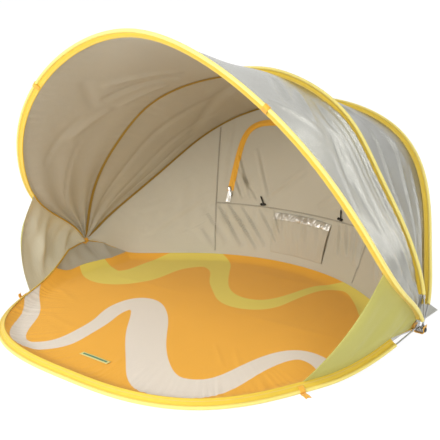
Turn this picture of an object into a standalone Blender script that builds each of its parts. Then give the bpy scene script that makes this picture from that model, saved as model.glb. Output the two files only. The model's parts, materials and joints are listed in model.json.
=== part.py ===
"""Pop-up beach tent: three sprung wire hoops and a wire floor ring, all turning on one pin at each side.

Metres, +Z up. The opening faces -Y, and the origin lies on the ground midway between the two hubs.
Each wire is bent into an eye at both ends, and the eyes sit side by side on the hub pin.
Fabric sleeves stand out from the cloth like fins, with the wire in their outer edge.
"""

import math

import bmesh
import bpy
import numpy as np

# Frame: places of the hubs and reach of each wire, seen from the hub axis
HUB_HALF_WIDTH = 0.550
HUB_HEIGHT = 0.062
RING_FRONT_REACH = 0.575
RING_REAR_REACH = 0.341
FRONT_HOOP_REACH = 0.736
MIDDLE_HOOP_REACH = 0.561
REAR_HOOP_REACH = 0.645
FRONT_HOOP_LEAN = math.radians(60.0)
MIDDLE_HOOP_LEAN = math.radians(101.0)
REAR_HOOP_LEAN = math.radians(138.0)

# Wire and its eyes on the hub pin
WIRE_DIAMETER = 0.0035
PIN_DIAMETER = 0.006
EYE_CLEARANCE = 0.0006
EYE_GAP = 0.0005
EYE_LEAD = 0.012
EYE_TURN = math.radians(270.0)
PIN_HEAD_DIAMETER = 0.011
PIN_HEAD_LENGTH = 0.002

# Sleeves: a drop-shaped fin round the wire, tapering to a sewn hem
SLEEVE_WIDTH = 0.021
RING_SLEEVE_WIDTH = 0.024
SLEEVE_EDGE_RADIUS = 0.0045
SLEEVE_HEM_RADIUS = 0.0018
SLEEVE_CLEARANCE = 0.00035
RING_SLEEVE_TILT = math.radians(45.0)

# Bare wire between each hub and the sleeve's end
FRONT_HOOP_BARE = 0.045
MIDDLE_HOOP_BARE = 0.080
REAR_HOOP_BARE = 0.068
RING_FRONT_BARE = 0.090
RING_REAR_BARE = 0.062

# Cloth, tapes and the gaps between neighbours
CLOTH_START = 0.035
CLOTH = 0.0010
TAPE = 0.0012
GAP = 0.0003
RAIL_DROP = 0.0004
RAIL_SIDE = 0.0012
SEAM_TAPE_WIDTH = 0.010
CANOPY_SAG = 0.003
CANOPY_FOLD = 0.003
WALL_SAG = 0.006
SIDE_PANEL_BULGE = 0.016
SIDE_PANEL_FOLD = 0.006

# Floor mats and the crease where the front half lifts
CREASE_SETBACK = 0.050
FLOOR_HALF_WIDTH = 0.478
FLOOR_RISE_WIDTH = 0.018

# Hub sling of folded webbing that carries the pin
SLING_WIDTH = 0.018
SLING_THICKNESS = 0.0016
SLING_TOP = 0.010
SLING_SLACK = 0.0009
CHEEK_CLEARANCE = 0.0009

# Back wall: seams, arched window, zip, pocket
WINDOW_HALF_WIDTH = 0.248
WINDOW_OFFSET = 0.015
WINDOW_FOOT = 0.170
WINDOW_TOP = 0.412
ZIP_FOOT = 0.200
ZIP_TAPE_WIDTH = 0.016
ZIP_GAP = 0.0015
SLIDER_LENGTH = 0.014
SLIDER_WIDTH = 0.009
SLIDER_THICKNESS = 0.003
PULL_LENGTH = 0.018
PULL_WIDTH = 0.005
BELT_SEAM_HEIGHT = 0.163
WALL_SEAM_WIDTH = 0.006
POCKET_BULGE = 0.009
POCKET_FOLD = 0.0022
POCKET_RUFFLE = 0.004
POCKET_RUFFLE_HEIGHT = 0.017
NET_OFFSET = 0.0022
NET_LAP = 0.012
LAYER_GAP = 0.0005
CUT_DEPTH = 0.400

# Toggles that hold the rolled window flap
TOGGLE_SPACING = 0.270
TOGGLE_LENGTH = 0.019
TOGGLE_DIAMETER = 0.007
TOGGLE_WAIST_DIAMETER = 0.005
TOGGLE_SHARES = ((0.4, 1.0), (0.85, 1.0), (1.0, 0.7))
TOGGLE_LOOP_LENGTH = 0.026
TOGGLE_LOOP_WIDTH = 0.005

# Tabs, peg loops, ferrules and sand flaps
TAB_WIDTH = 0.013
PEG_LOOP_WIDTH = 0.016
PEG_LOOP_TAIL = 0.026
PEG_LOOP_NOTCH = 0.006
FERRULE_LENGTH = 0.010
FERRULE_WALL = 0.0012
SAND_FLAP_REACH = 0.135

# Shares along each half wire from the hub to the middle: half width, reach, and bow out of its plane
FRONT_HOOP_SHARES = (
    (1.020, 0.260, -0.075), (0.940, 0.498, -0.092), (0.782, 0.700, -0.060),
    (0.560, 0.855, -0.017), (0.295, 0.959, 0.023), (0.0, 1.0, 0.044),
)
MIDDLE_HOOP_SHARES = (
    (0.920, 0.346, -0.040), (0.752, 0.600, -0.063), (0.593, 0.787, -0.043),
    (0.400, 0.908, 0.0), (0.200, 0.974, 0.050), (0.0, 1.0, 0.083),
)
REAR_HOOP_SHARES = (
    (0.910, 0.302, 0.022), (0.802, 0.533, 0.038), (0.674, 0.731, 0.031),
    (0.487, 0.886, 0.022), (0.251, 0.974, 0.011), (0.0, 1.0, 0.003),
)
# Shares of the floor ring: half width, reach, and lift from the ground towards the hub
RING_FRONT_SHARES = (
    (0.962, 0.158, 0.72), (0.910, 0.290, 0.26), (0.858, 0.415, 0.03), (0.796, 0.550, 0.0),
    (0.708, 0.715, 0.0), (0.540, 0.890, 0.0), (0.285, 0.984, 0.0), (0.0, 1.0, 0.0),
)
RING_REAR_SHARES = (
    (0.950, 0.140, 0.66), (0.898, 0.260, 0.22), (0.835, 0.360, 0.03), (0.762, 0.446, 0.0),
    (0.644, 0.598, 0.0), (0.431, 0.830, 0.0), (0.216, 0.960, 0.0), (0.0, 1.0, 0.0),
)

# Places on the cloth, as shares of the way along and up it
WALL_SEAM_SHARES = (0.304, 0.696)
WALL_SEAM_UP_SHARES = (0.030, 0.975)
POCKET_ALONG_SHARES = (0.412, 0.556)
POCKET_UP_SHARES = (0.055, 0.262)
FRONT_TAB_SHARE = 0.326
TAB_COVER_SHARE = 0.85
PEG_LOOP_COVER_SHARE = 0.70
PEG_LOOP_SHARE = 0.195
SIDE_PANEL_FRONT_HOOP_SHARE = 0.125
SIDE_PANEL_RING_SHARE = 0.190
SAND_FLAP_SHARES = (0.105, 0.270)
SAND_FLAP_TUCK_SHARE = 0.7
LIFT_OFF_FRONT_SHARE = 0.097
LIFT_OFF_REAR_SHARE = 0.107

# Stations along the sleeves, steps across the cloth, and sides of the round pieces
HOOP_STEPS = 32
RING_FRONT_STEPS = 30
RING_REAR_STEPS = 26
BARE_STEPS = 3
CLOTH_END_STEPS = 2
EYE_STEPS = 9
CANOPY_ROWS = 5
WALL_ROWS = 8
FLOOR_ROWS = 4
PANEL_STEPS = 7
PANEL_ROWS = 5
GUSSET_STEPS = 6
ROUND_SIDES = 12
SLEEVE_SIDES = 8
ARCH_STEPS = 26
ARCH_POWER = 4.7
CANOPY_FOLDS = 6
PANEL_FOLDS = 2.5
POCKET_FOLDS = 4.5
RUFFLE_FOLDS = 7.0
SPLINE_DENSITY = 60
SEAT_ROUNDS = 8

X_AXIS = np.array([1.0, 0.0, 0.0])
Z_AXIS = np.array([0.0, 0.0, 1.0])
MIRROR_X = np.array([-1.0, 1.0, 1.0])

# Sizes that follow from the ones above
WIRE_RADIUS = WIRE_DIAMETER / 2
EYE_RADIUS = PIN_DIAMETER / 2 + EYE_CLEARANCE + WIRE_RADIUS
EYE_PITCH = WIRE_DIAMETER + EYE_GAP
EYE_SLOTS = {"front_hoop": 2, "middle_hoop": 1, "rear_hoop": 0, "ring_front": -1, "ring_rear": -2}
STACK_HALF = 2 * EYE_PITCH + WIRE_RADIUS
CHEEK_INNER = STACK_HALF + CHEEK_CLEARANCE
CHEEK_OUTER = CHEEK_INNER + SLING_THICKNESS
RING_REST = SLEEVE_EDGE_RADIUS + GAP
HUB = np.array([0.0, 0.0, HUB_HEIGHT])

COLOURS = {
    "yellow_sleeve": (0.93, 0.80, 0.16), "orange_floor": (0.93, 0.62, 0.16),
    "silver_canopy": (0.68, 0.68, 0.67), "taupe_wall": (0.68, 0.62, 0.50),
    "yellow_green_panel": (0.76, 0.74, 0.32), "olive_panel": (0.62, 0.57, 0.38),
    "orange_webbing": (0.96, 0.62, 0.08), "grey_wire": (0.62, 0.62, 0.62),
    "black_plastic": (0.03, 0.03, 0.03), "dark_yellow_tape": (0.68, 0.52, 0.08),
    "silver_film": (0.82, 0.82, 0.82), "grey_flap": (0.55, 0.55, 0.54),
    "black_net": (0.10, 0.10, 0.10), "bright_metal": (0.80, 0.80, 0.80),
}
METALS = ("grey_wire", "bright_metal")


def clear_scene():
    """Removes whatever the file opens with."""
    for item in list(bpy.data.objects):
        bpy.data.objects.remove(item, do_unlink=True)


def material(name):
    """One Principled material per colour, made once."""
    found = bpy.data.materials.get(name)
    if found:
        return found
    made = bpy.data.materials.new(name)
    made.use_nodes = True
    shader = made.node_tree.nodes["Principled BSDF"]
    shader.inputs["Base Color"].default_value = (*COLOURS[name], 1.0)
    shader.inputs["Roughness"].default_value = 0.35 if name in METALS else 0.8
    shader.inputs["Metallic"].default_value = 1.0 if name in METALS else 0.0
    return made


def empty(name, place, parent=None):
    """An empty on a joint's axis, which carries the pieces of one moving group."""
    made = bpy.data.objects.new(name, None)
    bpy.context.collection.objects.link(made)
    made.parent = parent
    made.location = np.subtract(place, parent.location if parent else np.zeros(3))
    return made


def mesh_object(name, points, faces, parent, colour, smooth=True):
    """An object whose mesh is written about its parent empty, which lies on the joint's axis."""
    mesh = bpy.data.meshes.new(name)
    local = np.asarray(points, float).reshape(-1, 3) - np.array(parent.matrix_world.translation)
    mesh.from_pydata(local.tolist(), [], [tuple(map(int, face)) for face in faces])
    work = bmesh.new()
    work.from_mesh(mesh)
    bmesh.ops.recalc_face_normals(work, faces=work.faces)
    work.to_mesh(mesh)
    work.free()
    if smooth:
        mesh.shade_smooth()
        mesh.set_sharp_from_angle(angle=math.radians(40.0))
    mesh.materials.append(material(colour))
    made = bpy.data.objects.new(name, mesh)
    bpy.context.collection.objects.link(made)
    made.parent = parent
    return made


def cubic_curve(points):
    """A smooth natural cubic through the points, as a dense line with its running length."""
    points = np.asarray(points, float)
    knots = np.r_[0.0, np.cumsum(np.linalg.norm(np.diff(points, axis=0), axis=1))]
    step = np.diff(knots)
    count = len(points)
    system = np.eye(count)
    right = np.zeros((count, 3))
    for i in range(1, count - 1):
        system[i, i - 1:i + 2] = step[i - 1], 2 * (step[i - 1] + step[i]), step[i]
        rise_after = (points[i + 1] - points[i]) / step[i]
        rise_before = (points[i] - points[i - 1]) / step[i - 1]
        right[i] = 6 * (rise_after - rise_before)
    bend = np.linalg.solve(system, right)
    at = np.linspace(0.0, knots[-1], SPLINE_DENSITY * count)
    i = np.clip(np.searchsorted(knots, at, side="right") - 1, 0, count - 2)
    h = step[i][:, None]
    b = ((at - knots[i]) / step[i])[:, None]
    a = 1 - b
    line = a * points[i] + b * points[i + 1]
    line += ((a ** 3 - a) * bend[i] + (b ** 3 - b) * bend[i + 1]) * h ** 2 / 6
    length = np.r_[0.0, np.cumsum(np.linalg.norm(np.diff(line, axis=0), axis=1))]
    return line, length


def read_curve(curve, at):
    """Points of a dense curve at the given running lengths."""
    line, length = curve
    return np.stack([np.interp(at, length, line[:, k]) for k in range(3)], axis=1)


def unit(vectors):
    """Vectors scaled to length one."""
    return vectors / np.linalg.norm(vectors, axis=-1, keepdims=True)


def mirrored(points):
    """The right half of a wire followed by its mirror image on the left."""
    points = np.asarray(points)
    return np.vstack([points, points[-2::-1] * MIRROR_X])


class Wire:
    """One bent wire from the right hub to the left, with its sleeve's stations and directions.

    outer points from the cloth towards the wire's edge of the fin, and side is square to the fin:
    to the rear on a hoop, up and outwards on the floor ring.
    """

    def __init__(self, name, points, along, across, bare, steps):
        self.name = name
        self.along = along
        self.across = across
        self.curve = cubic_curve(points)
        self.length = self.curve[1][-1]
        sleeve_at = np.linspace(bare, self.length - bare, steps + 1)
        end_at = np.linspace(CLOTH_START, bare, CLOTH_END_STEPS + 1)[:-1]
        self.at = np.r_[end_at, sleeve_at, self.length - end_at[::-1]]
        self.sleeve = slice(CLOTH_END_STEPS, -CLOTH_END_STEPS)
        self.points = read_curve(self.curve, self.at)
        nudge = WIRE_DIAMETER
        self.tangent = unit(read_curve(self.curve, self.at + nudge) - read_curve(self.curve, self.at - nudge))
        bare_at = np.linspace(0.0, bare, BARE_STEPS + 1)
        self.bare_points = read_curve(self.curve, bare_at)
        self.width = SLEEVE_WIDTH

    def eye(self):
        """The eye at the right hub, from its open end to the point where the wire leaves it."""
        turn = np.linspace(EYE_TURN, 0.0, EYE_STEPS + 1)[:-1, None]
        centre = HUB + X_AXIS * (HUB_HALF_WIDTH + EYE_PITCH * EYE_SLOTS[self.name])
        return centre + EYE_RADIUS * (np.cos(turn) * self.across - np.sin(turn) * self.along)

    def path(self):
        """All the wire's points: eye, bare leg, sleeved run, bare leg, eye."""
        right_end = np.vstack([self.eye(), self.bare_points[:-1]])
        return np.vstack([right_end, self.points[self.sleeve], right_end[::-1] * MIRROR_X])

    def rail(self, side, drop=RAIL_DROP, spread=RAIL_SIDE):
        """The line just inside the hem where a cloth's edge is sewn, on the given side of the fin."""
        tip = self.width - SLEEVE_EDGE_RADIUS + drop
        return self.points - self.outer * tip + self.side * (side * spread)

    def share(self, value):
        """The station nearest to a share of the wire's whole length."""
        return int(np.argmin(np.abs(self.at - value * self.length)))


def hoop(name, reach, lean, shares, bare):
    """A hoop that leans at an angle from the ground in front, bowed out of its plane by the shares."""
    along = np.array([0.0, -math.cos(lean), math.sin(lean)])
    across = np.array([0.0, math.sin(lean), math.cos(lean)])
    slot = X_AXIS * (HUB_HALF_WIDTH + EYE_PITCH * EYE_SLOTS[name])
    start = HUB + slot + across * EYE_RADIUS
    half = [start, start + along * EYE_LEAD]
    for width_share, reach_share, bow_share in shares:
        flat = X_AXIS * (HUB_HALF_WIDTH * width_share) + along * (reach * reach_share)
        half.append(HUB + flat + across * (reach * bow_share))
    made = Wire(name, mirrored(half), along, across, bare, HOOP_STEPS)
    square = across - made.tangent * (made.tangent @ across)[:, None]
    made.side = unit(square)
    made.outer = np.cross(made.side, made.tangent)
    return made


def ring_half(name, reach, heading, shares, bare, steps):
    """Half of the floor ring: it lies on the ground and lifts to the hub at both ends."""
    along = np.array([0.0, heading, 0.0])
    slot = X_AXIS * (HUB_HALF_WIDTH + EYE_PITCH * EYE_SLOTS[name])
    start = HUB + slot + Z_AXIS * EYE_RADIUS
    half = [start, start + along * EYE_LEAD]
    for width_share, reach_share, lift_share in shares:
        height = RING_REST + (HUB_HEIGHT - RING_REST) * lift_share
        half.append(np.array([HUB_HALF_WIDTH * width_share, heading * reach * reach_share, height]))
    made = Wire(name, mirrored(half), along, Z_AXIS, bare, steps)
    level = unit(np.cross(made.tangent, Z_AXIS) * heading)
    up = np.cross(level, made.tangent) * heading
    made.outer = level * math.cos(RING_SLEEVE_TILT) - up * math.sin(RING_SLEEVE_TILT)
    made.side = level * math.sin(RING_SLEEVE_TILT) + up * math.cos(RING_SLEEVE_TILT)
    made.width = RING_SLEEVE_WIDTH
    return made


def drop_profile(width, grow=0.0):
    """The fin's section: a round edge over the wire and a small round hem, grown all round."""
    edge = SLEEVE_EDGE_RADIUS + grow
    hem = SLEEVE_HEM_RADIUS + grow
    hem_centre = -(width - SLEEVE_EDGE_RADIUS - SLEEVE_HEM_RADIUS)
    edge_turns = np.radians([-98.0, -49.0, 0.0, 49.0, 98.0])
    hem_turns = np.radians([115.0, 180.0, 245.0])
    edge_arc = np.stack([np.cos(edge_turns), np.sin(edge_turns)], axis=1) * edge
    hem_arc = np.stack([np.cos(hem_turns), np.sin(hem_turns)], axis=1) * hem + [hem_centre, 0.0]
    return np.vstack([edge_arc, hem_arc])


def placed_profile(centres, outer, side, profile):
    """A flat profile set square to each station of a run."""
    profile = np.asarray(profile)
    return (
        centres[:, None]
        + profile[None, :, :1] * outer[:, None]
        + profile[None, :, 1:] * side[:, None]
    )


def tube_faces(stations, sides, first=0):
    """Quads round a closed section from each station to the next."""
    i, k = np.meshgrid(np.arange(stations - 1), np.arange(sides), indexing="ij")
    near = first + i * sides + k
    near_next = first + i * sides + (k + 1) % sides
    return np.stack([near, near_next, near_next + sides, near + sides], axis=-1).reshape(-1, 4)


def swept_tube(sections, bores):
    """A run with an outer section and a bore, joined by a face round each end."""
    stations, sides = sections.shape[:2]
    inner = stations * sides
    faces = [tube_faces(stations, sides), tube_faces(stations, sides, inner)]
    k = np.arange(sides)
    for end in (0, (stations - 1) * sides):
        outer_next = end + (k + 1) % sides
        faces.append(np.stack([end + k, outer_next, inner + outer_next, inner + end + k], axis=1))
    return np.vstack([sections.reshape(-1, 3), bores.reshape(-1, 3)]), np.vstack(faces)


def swept_solid(sections):
    """A run with a closed section and flat ends."""
    stations, sides = sections.shape[:2]
    faces = tube_faces(stations, sides).tolist()
    faces.append(list(range(sides)))
    faces.append(list(range((stations - 1) * sides, stations * sides)))
    return sections.reshape(-1, 3), faces


def wire_object(name, wire, parent):
    """The wire as a bevelled curve along its path."""
    curve = bpy.data.curves.new(name, "CURVE")
    curve.dimensions = "3D"
    curve.bevel_depth = WIRE_RADIUS
    curve.bevel_resolution = 1
    curve.use_fill_caps = True
    path = wire.path() - np.array(parent.matrix_world.translation)
    line = curve.splines.new("POLY")
    line.points.add(len(path) - 1)
    line.points.foreach_set("co", np.c_[path, np.ones(len(path))].ravel())
    line.use_smooth = True
    curve.materials.append(material("grey_wire"))
    made = bpy.data.objects.new(name, curve)
    bpy.context.collection.objects.link(made)
    made.parent = parent
    return made


def sleeve_object(name, wire, parent):
    """The fabric sleeve with its bore round the wire."""
    bore_radius = (WIRE_RADIUS + SLEEVE_CLEARANCE) / math.cos(math.pi / SLEEVE_SIDES)
    turns = np.arange(SLEEVE_SIDES) * math.tau / SLEEVE_SIDES - math.pi / 2
    bore = np.stack([np.cos(turns), np.sin(turns)], axis=1) * bore_radius
    run = [values[wire.sleeve] for values in (wire.points, wire.outer, wire.side)]
    outer = placed_profile(*run, drop_profile(wire.width))
    inner = placed_profile(*run, bore)
    return mesh_object(name, *swept_tube(outer, inner), parent, "yellow_sleeve")


def cloth_object(name, grid, parent, colour, thickness=CLOTH):
    """A cloth: a grid of points given its thickness evenly to both sides."""
    rows, columns = grid.shape[:2]
    i, k = np.meshgrid(np.arange(rows - 1), np.arange(columns - 1), indexing="ij")
    near = i * columns + k
    faces = np.stack([near, near + 1, near + columns + 1, near + columns], axis=-1).reshape(-1, 4)
    made = mesh_object(name, grid, faces, parent, colour)
    solid = made.modifiers.new("cloth_thickness", "SOLIDIFY")
    solid.thickness = thickness
    solid.offset = 0.0
    return made


def boolean(target, cutter, operation):
    """Cuts a piece, or keeps only what a guide encloses."""
    step = target.modifiers.new(f"{operation.lower()}_{cutter.name}", "BOOLEAN")
    step.operation = operation
    step.solver = "EXACT"
    step.object = cutter


def guide_object(name, points, faces, parent):
    """A cutter that isn't part of the tent."""
    made = mesh_object(name, points, faces, parent, "black_plastic", smooth=False)
    made.hide_render = True
    made.display_type = "WIRE"
    return made


def prism(outline, near, far):
    """A flat outline in X and Z carried along Y from near to far."""
    outline = np.asarray(outline)
    ends = [np.stack([outline[:, 0], np.full(len(outline), y), outline[:, 1]], axis=1) for y in (near, far)]
    return swept_solid(np.stack(ends))


def sector_cloth(first_rail, second_rail, pull, rows, sag, fold=0.0, folds=0):
    """A cloth stretched between two rails, drawn in between them and gathered into soft folds."""
    across = np.linspace(0.0, 1.0, rows + 1)[None, :, None]
    along = np.linspace(0.0, 1.0, len(first_rail))[:, None, None]
    flat = first_rail[:, None] * (1 - across) + second_rail[:, None] * across
    belly = 4 * across * (1 - across)
    wave = fold * np.sin(math.tau * folds * along)
    return flat - unit(pull)[:, None] * belly * (sag + wave)


def mirror_solid(solid):
    """A solid's mirror image on the left side."""
    points, faces = solid
    return np.asarray(points) * MIRROR_X, faces


def pair_objects(name, solid, parent, colour, smooth=False):
    """A piece on the right and its mirror image on the left."""
    mesh_object(f"{name}_right", *solid, parent, colour, smooth)
    mesh_object(f"{name}_left", *mirror_solid(solid), parent, colour, smooth)


def build_hoops(wires, bodies):
    """Wires and sleeves of the three hoops and the two halves of the floor ring."""
    for name, body in (
        ("front_hoop", "front_hoop"), ("middle_hoop", "middle_hoop"), ("rear_hoop", "rear_hoop"),
        ("ring_front", "front_floor"), ("ring_rear", "rear_floor"),
    ):
        wire_object(f"{name}_wire", wires[name], bodies[body])
        sleeve_object(f"{name}_sleeve", wires[name], bodies[body])


def build_canopies(wires, bodies):
    """The two roof cloths, and the tapes that cover their seams inside."""
    front, middle, rear = wires["front_hoop"], wires["middle_hoop"], wires["rear_hoop"]
    front_cloth = sector_cloth(
        front.rail(1), middle.rail(-1), front.outer + middle.outer,
        CANOPY_ROWS, CANOPY_SAG, CANOPY_FOLD, CANOPY_FOLDS)
    cloth_object("front_canopy", front_cloth, bodies["front_hoop"], "silver_canopy")
    rear_cloth = sector_cloth(
        middle.rail(1), rear.rail(-1), middle.outer + rear.outer,
        CANOPY_ROWS, CANOPY_SAG, CANOPY_FOLD, CANOPY_FOLDS)
    cloth_object("rear_canopy", rear_cloth, bodies["middle_hoop"], "silver_canopy")
    middle_tape = seam_tape_grid(middle, front_cloth[:, ::-1], rear_cloth)
    cloth_object("middle_seam_tape", middle_tape, bodies["middle_hoop"], "dark_yellow_tape", TAPE)
    rear_tape = seam_tape_grid(rear, rear_cloth[:, ::-1], wall_surface(wires)[:, ::-1])
    cloth_object("rear_seam_tape", rear_tape, bodies["rear_hoop"], "dark_yellow_tape", TAPE)


def seam_tape_grid(wire, first, second):
    """A tape folded along the inside of the seam where two cloths meet at their first rows."""
    lift = CLOTH + TAPE
    edges, facing = [], []
    for cloth in (first, second):
        way = unit(cloth[:, 1] - cloth[:, 0])
        inward = unit(-wire.outer + way * np.sum(wire.outer * way, axis=1, keepdims=True))
        edges.append(cloth[:, 0] + way * SEAM_TAPE_WIDTH / 2 + inward * lift)
        facing.append(-np.sum(wire.outer * inward, axis=1, keepdims=True))
    middle = (first[:, 0] + second[:, 0]) / 2 - wire.outer * lift / np.minimum(*facing)
    return np.stack([edges[0], middle, edges[1]], axis=1)[wire.sleeve]


def build_side_panels(wires, bodies):
    """The two triangular panels between the front hoop's legs and the floor ring."""
    hoop_wire, ring = wires["front_hoop"], wires["ring_front"]
    high = read_rail(hoop_wire, -1, SIDE_PANEL_FRONT_HOOP_SHARE)
    low = read_rail(ring, 1, SIDE_PANEL_RING_SHARE)
    grid = sector_cloth(
        low, high, np.tile(-X_AXIS, (len(low), 1)), PANEL_ROWS, SIDE_PANEL_BULGE, SIDE_PANEL_FOLD, PANEL_FOLDS)
    cloth_object("side_panel_right", grid, bodies["front_floor"], "yellow_green_panel")
    cloth_object("side_panel_left", grid * MIRROR_X, bodies["front_floor"], "yellow_green_panel")


def read_rail(wire, side, last_share):
    """Even steps along a rail from the sleeve's end nearest the hub to a share of the wire."""
    rail = wire.rail(side)
    at = np.linspace(wire.at[0], last_share * wire.length, PANEL_STEPS + 1)
    return np.stack([np.interp(at, wire.at, rail[:, k]) for k in range(3)], axis=1)


def floor_grid(wire, crease, lift_off_share):
    """A mat from its crease to its rim, flat on the ground up to a narrow rising border.

    The rim follows the hem between the two places where the ring lifts off the ground.
    """
    first = wire.share(lift_off_share)
    rim = wire.rail(-1)[first:len(wire.at) - first]
    share = np.linspace(1.0, -1.0, len(rim))
    level = CLOTH / 2
    start = np.stack([FLOOR_HALF_WIDTH * share, np.full(len(rim), crease), np.full(len(rim), level)], axis=1)
    reach = np.linalg.norm((rim - start)[:, :2], axis=1)
    foot = (1 - FLOOR_RISE_WIDTH / reach)[:, None]
    rows = []
    for row_share in np.linspace(0.0, 1.0, FLOOR_ROWS):
        row = start + (rim - start) * foot * row_share
        row[:, 2] = level
        rows.append(row)
    rim[[0, -1], 2] = level
    return np.stack([*rows, rim], axis=1)


def build_floor(wires, bodies):
    """The front and rear mats, and the gussets between the mats' sides and the hubs."""
    front, rear = wires["ring_front"], wires["ring_rear"]
    front_grid = floor_grid(front, -CREASE_SETBACK - GAP / 2, LIFT_OFF_FRONT_SHARE)
    rear_grid = floor_grid(rear, -CREASE_SETBACK + GAP / 2, LIFT_OFF_REAR_SHARE)
    cloth_object("front_mat", front_grid, bodies["front_floor"], "orange_floor")
    cloth_object("rear_mat", rear_grid, bodies["rear_floor"], "orange_floor")
    grid = gusset_grid(wires, front_grid[0, ::-1], rear_grid[0])
    cloth_object("side_gusset_right", grid, bodies["rear_floor"], "taupe_wall")
    cloth_object("side_gusset_left", grid * MIRROR_X, bodies["rear_floor"], "taupe_wall")


def gusset_grid(wires, front_side, rear_side):
    """A low cloth from the straight side of the mats up to the hub, between the lifted wires."""
    side_line = np.vstack([front_side[1:], rear_side[:-1]])
    share = np.linspace(0.0, 1.0, GUSSET_STEPS + 1)
    front_y, rear_y = side_line[0, 1] * (1 - share), side_line[-1, 1] * share[1:]
    y = np.r_[front_y, rear_y]
    x = np.interp(y, side_line[:, 1], side_line[:, 0])
    low = np.stack([x, y, np.full(len(y), 1.5 * CLOTH + GAP)], axis=1)
    cheek = HUB_HALF_WIDTH - CHEEK_OUTER - GAP - CLOTH
    apex = np.array([[cheek, 0.0, HUB_HEIGHT - SLING_TOP]])
    front_high = hem_to_hub(wires["ring_front"], side_line[0, 1])[::-1]
    rear_high = hem_to_hub(wires["ring_rear"], side_line[-1, 1])
    high = np.vstack([front_high, apex, rear_high])
    return np.stack([low, (low + high) / 2, high], axis=1)


def hem_to_hub(wire, last_y):
    """Even steps along the underside of a ring's hem, from the hub to where it passes a distance in Y."""
    rail = wire.rail(-1, RAIL_DROP + CLOTH + GAP)
    last = int(np.argmin(np.abs(rail[:len(rail) // 2, 1] - last_y)))
    at = np.linspace(0.0, last, GUSSET_STEPS)
    return np.stack([np.interp(at, np.arange(len(rail)), rail[:, k]) for k in range(3)], axis=1)


def wall_surface(wires, offset=0.0):
    """The back wall between the rear ring and the rear hoop, moved inwards by an offset."""
    low = wires["ring_rear"].rail(1)
    high = wires["rear_hoop"].rail(1)
    share = np.linspace(0.0, 1.0, len(high))
    low_share = np.linspace(0.0, 1.0, len(low))
    low = np.stack([np.interp(share, low_share, low[:, k]) for k in range(3)], axis=1)
    pull = np.stack([low[:, 0], low[:, 1], np.zeros(len(low))], axis=1)
    grid = sector_cloth(low, high, pull, WALL_ROWS, WALL_SAG)
    if offset:
        along = np.gradient(grid, axis=0)
        up = np.gradient(grid, axis=1)
        grid = grid + unit(np.cross(up, along)) * offset
    return grid


def wall_point(grid, along_share, up_share):
    """A point of the wall at shares of the way along and up it."""
    i = along_share * (grid.shape[0] - 1)
    k = up_share * (grid.shape[1] - 1)
    i0, k0 = min(int(i), grid.shape[0] - 2), min(int(k), grid.shape[1] - 2)
    a, b = i - i0, k - k0
    near = grid[i0, k0] * (1 - b) + grid[i0, k0 + 1] * b
    far = grid[i0 + 1, k0] * (1 - b) + grid[i0 + 1, k0 + 1] * b
    return near * (1 - a) + far * a


def wall_seat(grid, x, z):
    """The wall's place at x and z, with its directions to the left, upwards and inwards."""
    share = np.array([0.5, 0.5])
    size = np.array(grid.shape[:2]) - 1
    for _ in range(SEAT_ROUNDS):
        here = wall_point(grid, *share)
        left = wall_point(grid, *(share + [1 / size[0], 0.0])) - here
        up = wall_point(grid, *(share + [0.0, 1 / size[1]])) - here
        slopes = np.array([left[[0, 2]], up[[0, 2]]]).T
        share = share + np.linalg.solve(slopes, [x - here[0], z - here[2]]) / size
    inward = unit(np.cross(up, left))
    return here, np.array([-unit(left), unit(np.cross(inward, -left)), inward])


def arch_outline(grow, foot):
    """The window's arch grown all round, with straight legs down to a foot."""
    half = WINDOW_HALF_WIDTH + grow
    height = WINDOW_TOP - ZIP_FOOT + grow
    turns = np.linspace(0.0, math.pi, ARCH_STEPS + 1)
    cosine, sine = np.cos(turns), np.sin(turns)
    radius = (np.abs(cosine) ** ARCH_POWER + np.abs(sine) ** ARCH_POWER) ** (-1 / ARCH_POWER)
    arch = np.stack([radius * cosine * half, ZIP_FOOT + radius * sine * height], axis=1)
    return np.vstack([[half, foot], arch, [-half, foot]]) + [WINDOW_OFFSET, 0.0]


def strip_outline(start, end, width):
    """A straight strip of a width between two places seen from the front."""
    start, end = np.asarray(start), np.asarray(end)
    way = unit(end - start)
    square = np.array([-way[1], way[0]]) * width / 2
    return np.array([start + square, start - square, end - square, end + square])


def build_back_wall(wires, bodies):
    """The back wall with its window, the zipped flap, the outer net, the zip tape and the seams."""
    root, flap_body = bodies["rear_floor"], bodies["window_flap"]
    deep = CUT_DEPTH * 2
    wall = cloth_object("back_wall", wall_surface(wires), root, "taupe_wall")
    hole = guide_object("window_hole_guide", *prism(arch_outline(0.0, WINDOW_FOOT), 0.0, deep), root)
    boolean(wall, hole, "DIFFERENCE")
    flap = cloth_object("window_flap", wall_surface(wires), flap_body, "taupe_wall")
    inside = arch_outline(-ZIP_GAP, WINDOW_FOOT + ZIP_GAP)
    boolean(flap, guide_object("window_flap_guide", *prism(inside, 0.0, deep), root), "INTERSECT")
    net = cloth_object("window_net", wall_surface(wires, -NET_OFFSET), root, "black_net")
    lapped = arch_outline(NET_LAP, WINDOW_FOOT - NET_LAP)
    boolean(net, guide_object("window_net_guide", *prism(lapped, 0.0, deep), root), "INTERSECT")
    tape_offset = CLOTH / 2 + LAYER_GAP + TAPE / 2
    band = cloth_object("zip_tape", wall_surface(wires, tape_offset), root, "orange_webbing", TAPE)
    band_edge = ZIP_TAPE_WIDTH / 2
    band_out = prism(arch_outline(band_edge, ZIP_FOOT), 0.0, deep)
    band_in = prism(arch_outline(-band_edge, ZIP_FOOT - ZIP_TAPE_WIDTH), 0.0, deep)
    boolean(band, guide_object("zip_outer_guide", *band_out, root), "INTERSECT")
    boolean(band, guide_object("zip_inner_guide", *band_in, root), "DIFFERENCE")
    build_wall_seams(wires, root, tape_offset, deep)


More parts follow.
